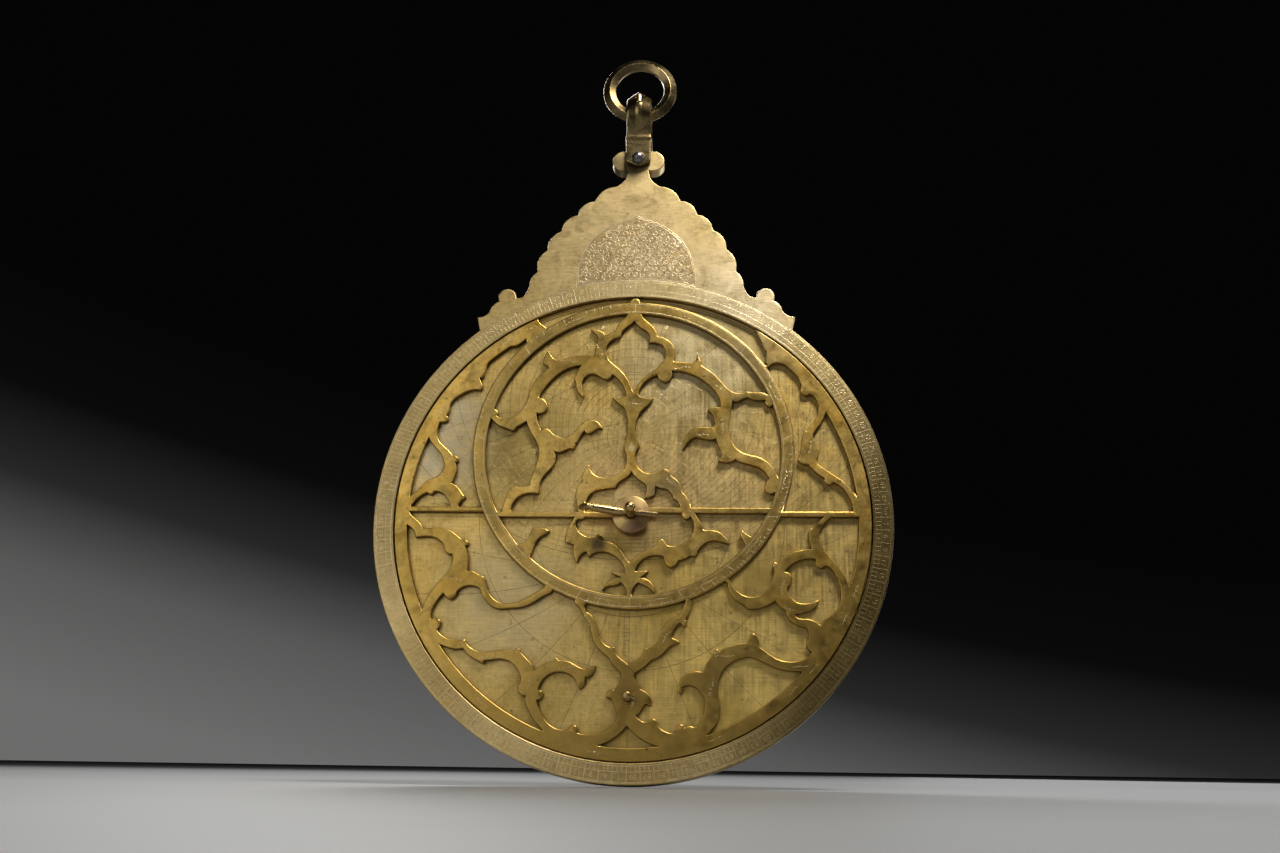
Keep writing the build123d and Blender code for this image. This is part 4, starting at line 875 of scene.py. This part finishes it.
def panel_outline(inset):
    """The panel's upper and lower edges moved inwards, with more points where the arch is steep."""
    xs = (PANEL_HALF - inset) * np.sin(np.linspace(-math.pi / 2, math.pi / 2, 91))
    top = [(x, arch_top(abs(x) + inset * 0.6) - inset) for x in xs]
    return top, [(x, panel_base(x) + inset) for x in xs]


def panel_ground():
    """The panel's matted ground, a strip of faces between its two edges."""
    ground = Cuts(LIMB_Y, -1)
    top, base = panel_outline(0.1)
    for (x, high), (_, low) in zip(top, base):
        ground.verts.append(ground.place(x, low, 0.006))
        ground.verts.append(ground.place(x, high, 0.006))
    for k in range(0, 2 * len(top) - 2, 2):
        ground.faces.append((k, k + 2, k + 3, k + 1))
    ground.make("throne_panel_ground", "mater", M_GROUND)


def scroll(cuts, rng, x, z, r):
    """One vine spiral with two leaves."""
    start = rng.uniform(0, 360)
    hand = 1 if rng.random() < 0.5 else -1
    spiral = []
    for t in (k / 14 for k in range(15)):
        spiral.append(polar(r * (1.0 - 0.72 * t), start + hand * t * 430, x, z))
    cuts.line(spiral, 0.26, taper=0.2)
    for m in (0, 1):
        a = math.radians(start + 70 + 150 * m)
        px, pz = x + r * math.cos(a), z + r * math.sin(a)
        lean = a + hand * 1.1
        tip = (px + 0.95 * math.cos(lean), pz + 0.95 * math.sin(lean))
        side = (px + 0.55 * math.cos(lean + 0.6), pz + 0.55 * math.sin(lean + 0.6))
        cuts.line([(px, pz), side, tip], 0.19, taper=0.3)


def engrave_throne():
    """An arched panel with rows of spirals and many short curls, light and dark."""
    rng = random.Random(11)
    cuts = Cuts(LIMB_Y, -1, proud=0.024)
    for inset, w in ((0.0, 0.20), (0.6, 0.12)):
        top, base = panel_outline(inset)
        cuts.line(top, w)
        cuts.line(base, w)
        cuts.line([base[0], top[0]], w)
        cuts.line([base[-1], top[-1]], w)
    panel_ground()
    dark = Cuts(LIMB_Y, -1, proud=0.018)
    pitch = 2.9
    row = 0
    z = 87.0
    while z < 117:
        x = -23.5 + (pitch / 2 if row % 2 else 0.0)
        while x < 23.5:
            if in_panel(x, z, 1.1):
                scroll(cuts, rng, x + rng.uniform(-0.3, 0.3), z + rng.uniform(-0.3, 0.3), pitch * 0.40)
            x += pitch
        z += pitch * 0.86
        row += 1
    for k in range(1900):
        x = rng.uniform(-22, 22)
        z = rng.uniform(86, 117)
        if not in_panel(x, z, 1.0):
            continue
        lean = rng.uniform(15, 75)
        long = rng.uniform(0.5, 1.2)
        swirl = rng.uniform(-70, 70)
        pts = bow(0, 0, long, lean, lean + swirl + 90, 5)
        mx = sum(p[0] for p in pts) / len(pts)
        mz = sum(p[1] for p in pts) / len(pts)
        target, w = (dark, 0.26) if k % 5 < 4 else (cuts, 0.22)
        target.line([(x + p[0] - mx, z + p[1] - mz) for p in pts], w, taper=0.35)
    dark.make("throne_arabesque_shadow", "mater", M_FINE)
    flourish(cuts, rng, -36.5, 79.6, 24.0, 9.0, 1.3)
    cuts.make("throne_arabesque", "mater", M_CUT)


R_EQ = 53.1             # the equator on the plate
R_CAP = 81.0            # the tropic of Capricorn, which bounds it
R_CAN = 34.8            # the tropic of Cancer
HUB = 7.5               # lines stop this far from the pole
LAT = 32.0              # the plate's latitude in degrees


def tan(degrees):
    return math.tan(math.radians(degrees))


def through(a, b, c):
    """Centre and radius of the circle through three points."""
    (ax, ay), (bx, by), (cx, cy) = a, b, c
    aa, bb, cc = ax * ax + ay * ay, bx * bx + by * by, cx * cx + cy * cy
    d = 2 * (ax * (by - cy) + bx * (cy - ay) + cx * (ay - by))
    if abs(d) < 1e-6:
        return None
    ux = (aa * (by - cy) + bb * (cy - ay) + cc * (ay - by)) / d
    uy = (aa * (cx - bx) + bb * (ax - cx) + cc * (bx - ax)) / d
    return ux, uy, math.hypot(ax - ux, ay - uy)


def altitude_circle(alt):
    """Height of the centre, and the radius, of the circle of one altitude."""
    up = R_EQ * tan((180 - LAT - alt) / 2)
    down = -R_EQ * tan((LAT - alt) / 2)
    return (up + down) / 2, (up - down) / 2


def hour_line(cuts, pts):
    """An arc through three points, or straight lines where they are nearly in line."""
    found = through(*pts)
    if not found or found[2] >= 900:
        cuts.line(pts, 0.14)
        return
    cx, cz, r = found
    a0 = math.atan2(pts[0][1] - cz, pts[0][0] - cx)
    a1 = math.atan2(pts[2][1] - cz, pts[2][0] - cx)
    if abs(a1 - a0) > math.pi:
        a1 += math.copysign(2 * math.pi, a0 - a1)
    t = np.linspace(a0, a1, 40)
    cuts.line(np.c_[cx + r * np.cos(t), cz + r * np.sin(t)], 0.14)


def engrave_plate():
    """Stereographic altitude and azimuth circles above the horizon, unequal hours below it."""
    rng = random.Random(5)
    cuts = Cuts(PLATE_Y, -1, proud=0.018, low=0.003)
    horizon_z, horizon_r = altitude_circle(0)

    def on_disc(x, z):
        return 7.2 ** 2 < x * x + z * z < R_CAP ** 2

    def above(x, z):
        return on_disc(x, z) and math.hypot(x, z - horizon_z) < horizon_r - 0.05

    for r, w in ((R_CAP, 0.18), (R_EQ, 0.14), (R_CAN, 0.14), (82.0, 0.14)):
        cuts.ring(r, w)
    for alt in range(0, 90, 3):
        c, r = altitude_circle(alt)
        w = 0.17 if alt == 0 else 0.13 if alt % 15 == 0 else 0.09
        cuts.kept(circle_points(0, c, r, 720 if r > 60 else 240), on_disc, w)
        if alt % 6 == 0 and alt:
            for s in (-1, 1):
                x, z = polar(r, 90 + s * 118, 0, c)
                if math.hypot(x, z) < 76:
                    cuts.number(alt, x + s * 0.2, z + 0.9, 90, 1.3, 0.13)
    zenith = R_EQ * tan((90 - LAT) / 2)
    nadir = -R_EQ * tan((90 + LAT) / 2)
    middle, prime = (zenith + nadir) / 2, (zenith - nadir) / 2
    for azimuth in range(-80, 90, 10):
        r = prime / math.cos(math.radians(azimuth))
        cuts.kept(circle_points(prime * tan(azimuth), middle, r, 900), above, 0.10)
    cuts.cross(HUB, R_CAP, 0.14)
    ends = []
    for r in (R_CAN, R_EQ, R_CAP):
        z = (r * r + horizon_z ** 2 - horizon_r ** 2) / (2 * horizon_z)
        ends.append((r, math.degrees(math.asin(max(-1, min(1, z / r))))))
    for h in range(1, 12):
        pts = [polar(r, (180 - phi) + (180 + 2 * phi) * h / 12) for r, phi in ends]
        hour_line(cuts, pts)
        cuts.number(h, pts[1][0] - 3.0, pts[1][1] + 0.4, 90, 1.8, 0.16)
    for z in np.arange(-48, -33.5, 1.3):
        cuts.line([(-1.7, z), (0, z)], 0.13)
    cuts.line([(-1.7, -48), (-1.7, -34)], 0.14)
    for x, z, length in ((-27, 6.4, 10), (24, -3.2, 9), (-24, -2.6, 8), (28, 5.4, 9), (-66, 4.8, 6),
                         (61, 6.5, 6)):
        flourish(cuts, rng, x, z, 0, length, 1.6)
    cuts.make("plate_scales", "mater", M_FINE)


OBLIQUITY = math.radians(23.5)
# Short labels on the rete's leaves: x, z, angle and length
LABELS = (
    (-36.6, 41.0, 20, 4.5), (-35.0, 22.0, 75, 5.0), (-27.5, 29.5, 10, 4.5), (-24.0, 58.0, -8, 5.0),
    (-12.5, 62.5, -60, 4.0), (0.0, 41.6, 0, 6.0), (-0.5, 26.0, 90, 3.0), (18.0, 55.6, 5, 6.0),
    (31.4, 47.0, -45, 4.5), (31.6, 33.0, 85, 5.5), (25.0, 30.2, 0, 4.5), (33.0, 22.4, -20, 4.5),
    (-16.0, 10.8, 35, 4.5), (14.0, 12.0, -40, 4.0), (-21.0, -6.5, 75, 3.5), (22.5, -9.8, 40, 4.5),
    (-59.0, -13.5, 80, 5.0), (-58.5, -22.6, 0, 5.0), (-46.5, -49.0, 5, 7.0), (-33.0, -57.0, 80, 5.0),
    (-20.5, -52.0, 15, 5.0), (32.0, -47.6, 0, 6.0), (27.6, -58.0, 80, 6.0), (57.0, -50.9, 5, 4.5),
    (51.5, -24.5, 80, 4.5), (54.0, -32.0, -30, 4.0), (-14.0, -36.8, -60, 4.0), (12.5, -41.3, 55, 4.5),
    (62.3, 25.8, 80, 4.5), (-65.0, 14.2, -35, 4.5), (-68.0, 40.0, 60, 4.5), (1.8, -62.8, 80, 3.0),
)


def ecliptic_point(lon, r):
    """Where a longitude falls on a circle of radius r about the ecliptic ring's centre."""
    lam = math.radians(lon)
    a = math.atan2(math.cos(OBLIQUITY) * math.sin(lam), math.cos(lam)) - math.pi
    rise = ECLIPTIC_UP * math.sin(a)
    far = rise + math.sqrt(rise * rise - ECLIPTIC_UP ** 2 + r * r)
    return math.cos(a) * far, math.sin(a) * far


def engrave_rete():
    """Zodiac divisions on the ecliptic ring and short labels on the leaves."""
    rng = random.Random(23)
    cuts = Cuts(RETE_Y, -1)
    cuts.ring(52.95, 0.13, 1.2, 0, ECLIPTIC_UP)
    cuts.ring(55.9, 0.10, 1.2, 0, ECLIPTIC_UP)
    for lon in range(0, 360, 2):
        r0, r1, w = (55.0, 56.3, 0.30) if lon % 6 == 0 else (55.5, 56.1, 0.14)
        if lon % 30 == 0:
            r0, r1, w = 52.5, 56.1, 0.24
            x, z = ecliptic_point(lon + 15, 54.4)
            flourish(cuts, rng, x, z, math.degrees(math.atan2(z - ECLIPTIC_UP, x)) - 90, 7.5, 1.25)
        cuts.line([ecliptic_point(lon, r0), ecliptic_point(lon, r1)], w)
    for x, z, angle, length in LABELS:
        flourish(cuts, rng, x, z, angle, length, 1.35, 0.19)
    for x, z, r in ((-0.3, 24.6, 1.0), (-11.6, 71.0, 0.6), (11.6, 71.0, 0.6)):
        cuts.ring(r, 0.2, 20, x, z)
        cuts.ring(r * 0.45, 0.2, 30, x, z)
        for k in range(8):
            cuts.tick(45 * k + 20, r * 0.5, r * 0.95, 0.14, x, z)
    for a in np.arange(118, 416, 7.2):
        x, z = polar(80.5, a)
        if math.hypot(x, z - ECLIPTIC_UP) > 58.5 and rng.random() < 0.22:
            flourish(cuts, rng, x, z, a - 90, 4.0, 1.2, 0.17)
    cuts.make("rete_labels", "rete", M_RETE_CUT)


BACK_EDGE = 89.2        # radii of the back's circles, from the outside in
BACK_DEGREES = 87.6
BACK_FIGURES = 84.4
BACK_NAMES = 80.6
QUADRANT = 80.0
BACK_HUB = 11.0
SQUARE = (52.0, 48.0, 42.0)     # half widths of the shadow square's three lines


def shadow_square(cuts, s):
    """The half of the shadow square on one side of the middle line."""
    outer, middle, inner = SQUARE
    for q, w in ((outer, 0.24), (middle, 0.18), (inner, 0.24)):
        cuts.line([(0, -q), (s * q, -q), (s * q, 0)], w)
    for k in range(1, 12):
        q = outer * k / 12
        cuts.line([(s * q, -outer), (s * q, -middle)], 0.18)
        cuts.line([(s * outer, -q), (s * middle, -q)], 0.18)
        cuts.number(k, s * (inner * k / 12 - 1.7), -(middle + inner) / 2, 90, 2.0, 0.18)


def engrave_back():
    """Altitude scales, sine quadrant, declination arcs, shadow square and cotangent scale."""
    rng = random.Random(31)
    cuts = Cuts(BACK_Y, 1)
    for r, w in ((BACK_EDGE, 0.2), (BACK_DEGREES, 0.2), (BACK_FIGURES, 0.2), (BACK_NAMES, 0.26),
                 (QUADRANT, 0.16)):
        cuts.ring(r, w)
    for k in range(360):
        if k % 5:
            cuts.tick(k, BACK_DEGREES, BACK_EDGE, 0.16)
            continue
        cuts.tick(k, BACK_FIGURES, BACK_EDGE, 0.22)
        label = abs(90 - (k % 180)) or 90
        cuts.number(label, *polar((BACK_FIGURES + BACK_DEGREES) / 2, k + 2.5), k + 2.5, 1.9, 0.17)
        if k % 10 == 0:
            cuts.tick(k, BACK_NAMES, BACK_FIGURES, 0.2)
            flourish(cuts, rng, *polar((BACK_NAMES + BACK_FIGURES) / 2, k + 5), k + 5 - 90, 7.0, 1.7)
    cuts.cross(BACK_HUB, QUADRANT, 0.26)
    for k in range(1, 30):
        h = QUADRANT * k / 30
        reach = math.sqrt(QUADRANT ** 2 - h * h)
        start = 1.0 if h > BACK_HUB else math.sqrt((BACK_HUB + 0.5) ** 2 - h * h)
        cuts.line([(start, h), (reach, h)], 0.2 if k % 5 == 0 else 0.13)
        if k % 5 == 0:
            cuts.line([(h, start), (h, reach)], 0.16)
    for r in range(20, 75, 9):
        cuts.arc(r, 90.5, 179.5, 0.2)
        if r < 74:
            for a in range(10, 90, 10):
                flourish(cuts, rng, *polar(r + 4.5, 90 + a), a, 2.6 + r * 0.04, 1.5, 0.16)
    for a in range(100, 180, 10):
        cuts.tick(a, 20, QUADRANT, 0.14)
    for s in (-1, 1):
        shadow_square(cuts, s)
    for k in range(7):
        a = 206 + 21.3 * k
        flourish(cuts, rng, *polar(66.5, a), a + 90, 12.0, 2.6, 0.22)
    for r in (60.0, 73.0):
        cuts.arc(r, 200, 340, 0.18)
    cuts.make("back_scales", "mater", M_CUT)


def engrave_rule():
    """Two scales along the alidade and circles round its hub."""
    cuts = Cuts(RULE_Y, 1)
    for s in (1, -1):
        cuts.line([(-3.3, s * 11.5), (-3.3, s * 56)], 0.16)
        cuts.line([(0, s * 10.5), (0, s * 56)], 0.18)
        for k in range(12, 56, 2):
            cuts.line([(-3.3, s * k), (0 if k % 10 == 0 else -2.0, s * k)], 0.15)
        for k in range(20, 56, 10):
            cuts.number(k, 1.9, s * k, 90, 1.8, 0.16)
    cuts.ring(8.8, 0.22, 4)
    cuts.ring(6.4, 0.16, 4)
    cuts.make("alidade_scale", "alidade", M_CUT)


engrave_limb()
engrave_throne()
engrave_plate()
engrave_rete()
engrave_back()
engrave_rule()


# ---------------- stage, light and camera
FLOOR_HALF = 8.0        # metres
FLOOR_CELLS = 24
FLOOR_SLOPE = math.tan(math.radians(4.0))


def pale_floor():
    """A large floor just under the object that rises a little towards the back."""
    g = Graph("pale_floor")
    fine = g.noise(300, 3, 0.5)
    colour = g.mix(g.ramp(g.noise(6, 2, 0.5), 0.3, 0.7), (0.195, 0.202, 0.208), (0.172, 0.179, 0.186))
    mat = g.finish(colour, 0.62, g.bump(fine, 0.05, 0.0001), 0.0)
    z0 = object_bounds()[0].z - 0.0006
    row = FLOOR_CELLS + 1
    line = [-FLOOR_HALF + 2 * FLOOR_HALF * k / FLOOR_CELLS for k in range(row)]
    verts = [(x, y, z0 + FLOOR_SLOPE * y) for x in line for y in line]
    faces = []
    for a in (i * row + j for i in range(FLOOR_CELLS) for j in range(FLOOR_CELLS)):
        faces.append((a, a + row, a + row + 1, a + 1))
    mesh = bpy.data.meshes.new("floor")
    mesh.from_pydata(verts, [], faces)
    floor = shown("floor", mesh, mat)
    floor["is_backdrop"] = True


def area(name, place, size, size_y, power, colour=(1, 1, 1)):
    """A soft rectangular light that faces a point just above the pole."""
    lamp = bpy.data.lights.new(name, "AREA")
    lamp.shape = "RECTANGLE"
    lamp.size = size
    lamp.size_y = size_y
    lamp.energy = power
    lamp.color = colour
    obj = bpy.data.objects.new(name, lamp)
    bpy.context.scene.collection.objects.link(obj)
    obj.location = place
    obj.rotation_mode = "QUATERNION"
    obj.rotation_quaternion = (Vector((0.0, 0.0, CZ + 0.02)) - Vector(place)).to_track_quat("-Z", "Y")


def world():
    """A dark room that is lighter near the horizon and towards the left."""
    w = bpy.data.worlds.new("studio")
    bpy.context.scene.world = w
    w.use_nodes = True
    nt = w.node_tree
    nt.nodes.clear()
    kinds = ("OutputWorld", "Background", "TexCoord", "SeparateXYZ", "ValToRGB", "Math")
    out, back, coord, split, ramp, lean = (nt.nodes.new("ShaderNode" + kind) for kind in kinds)
    lean.operation = "MULTIPLY_ADD"
    lean.inputs[1].default_value = 0.22
    for start, end in ((coord.outputs["Generated"], split.inputs[0]), (split.outputs["X"], lean.inputs[0]),
                       (split.outputs["Z"], lean.inputs[2]), (lean.outputs[0], ramp.inputs[0]),
                       (ramp.outputs[0], back.inputs[0]), (back.outputs[0], out.inputs[0])):
        nt.links.new(start, end)
    stops = ((0.0, 0.15), (0.09, 0.095), (0.15, 0.020), (0.21, 0.003), (0.30, 0.0015))
    while len(ramp.color_ramp.elements) < len(stops):
        ramp.color_ramp.elements.new(0.5)
    for stop, (place, level) in zip(ramp.color_ramp.elements, stops):
        stop.position = place
        stop.color = (level, level * 0.99, level * 0.98, 1)
    back.inputs[1].default_value = 1.0


def camera():
    """The viewpoint: a little right of the disc and well below its middle, looking up at it.

    Its place is measured from the pole on the limb's face, and its turns are in degrees.
    """
    place = Vector((23.489 * MM, LIMB_Y - 421.494 * MM, CZ - 114.056 * MM))
    turn = Euler([math.radians(v) for v in (109.168, -0.9975, 2.5123)])
    cam = bpy.data.cameras.new("camera")
    cam.sensor_width = 36.0
    cam.lens = 35.48
    cam.clip_start = 0.01
    cam.clip_end = 50.0
    obj = bpy.data.objects.new("camera", cam)
    bpy.context.scene.collection.objects.link(obj)
    obj.matrix_world = Matrix.LocRotScale(place, turn, None)
    bpy.context.scene.camera = obj


bpy.context.scene.view_settings.view_transform = "Standard"
pale_floor()
world()
area("key_softbox", (0.28, -0.46, CZ + 0.78), 0.30, 0.20, 10.5, (1.0, 0.97, 0.92))
area("left_fill", (-0.52, -1.0, CZ + 0.26), 0.7, 0.6, 1.7, (1.0, 0.98, 0.95))
area("back_key", (-0.30, 0.62, CZ + 0.62), 0.5, 0.34, 6.0, (1.0, 0.98, 0.95))
area("back_fill", (0.62, 1.1, CZ + 0.30), 0.8, 0.6, 2.5)
area("side_fill", (1.2, 0.1, CZ + 0.45), 0.7, 0.5, 2.0)
camera()
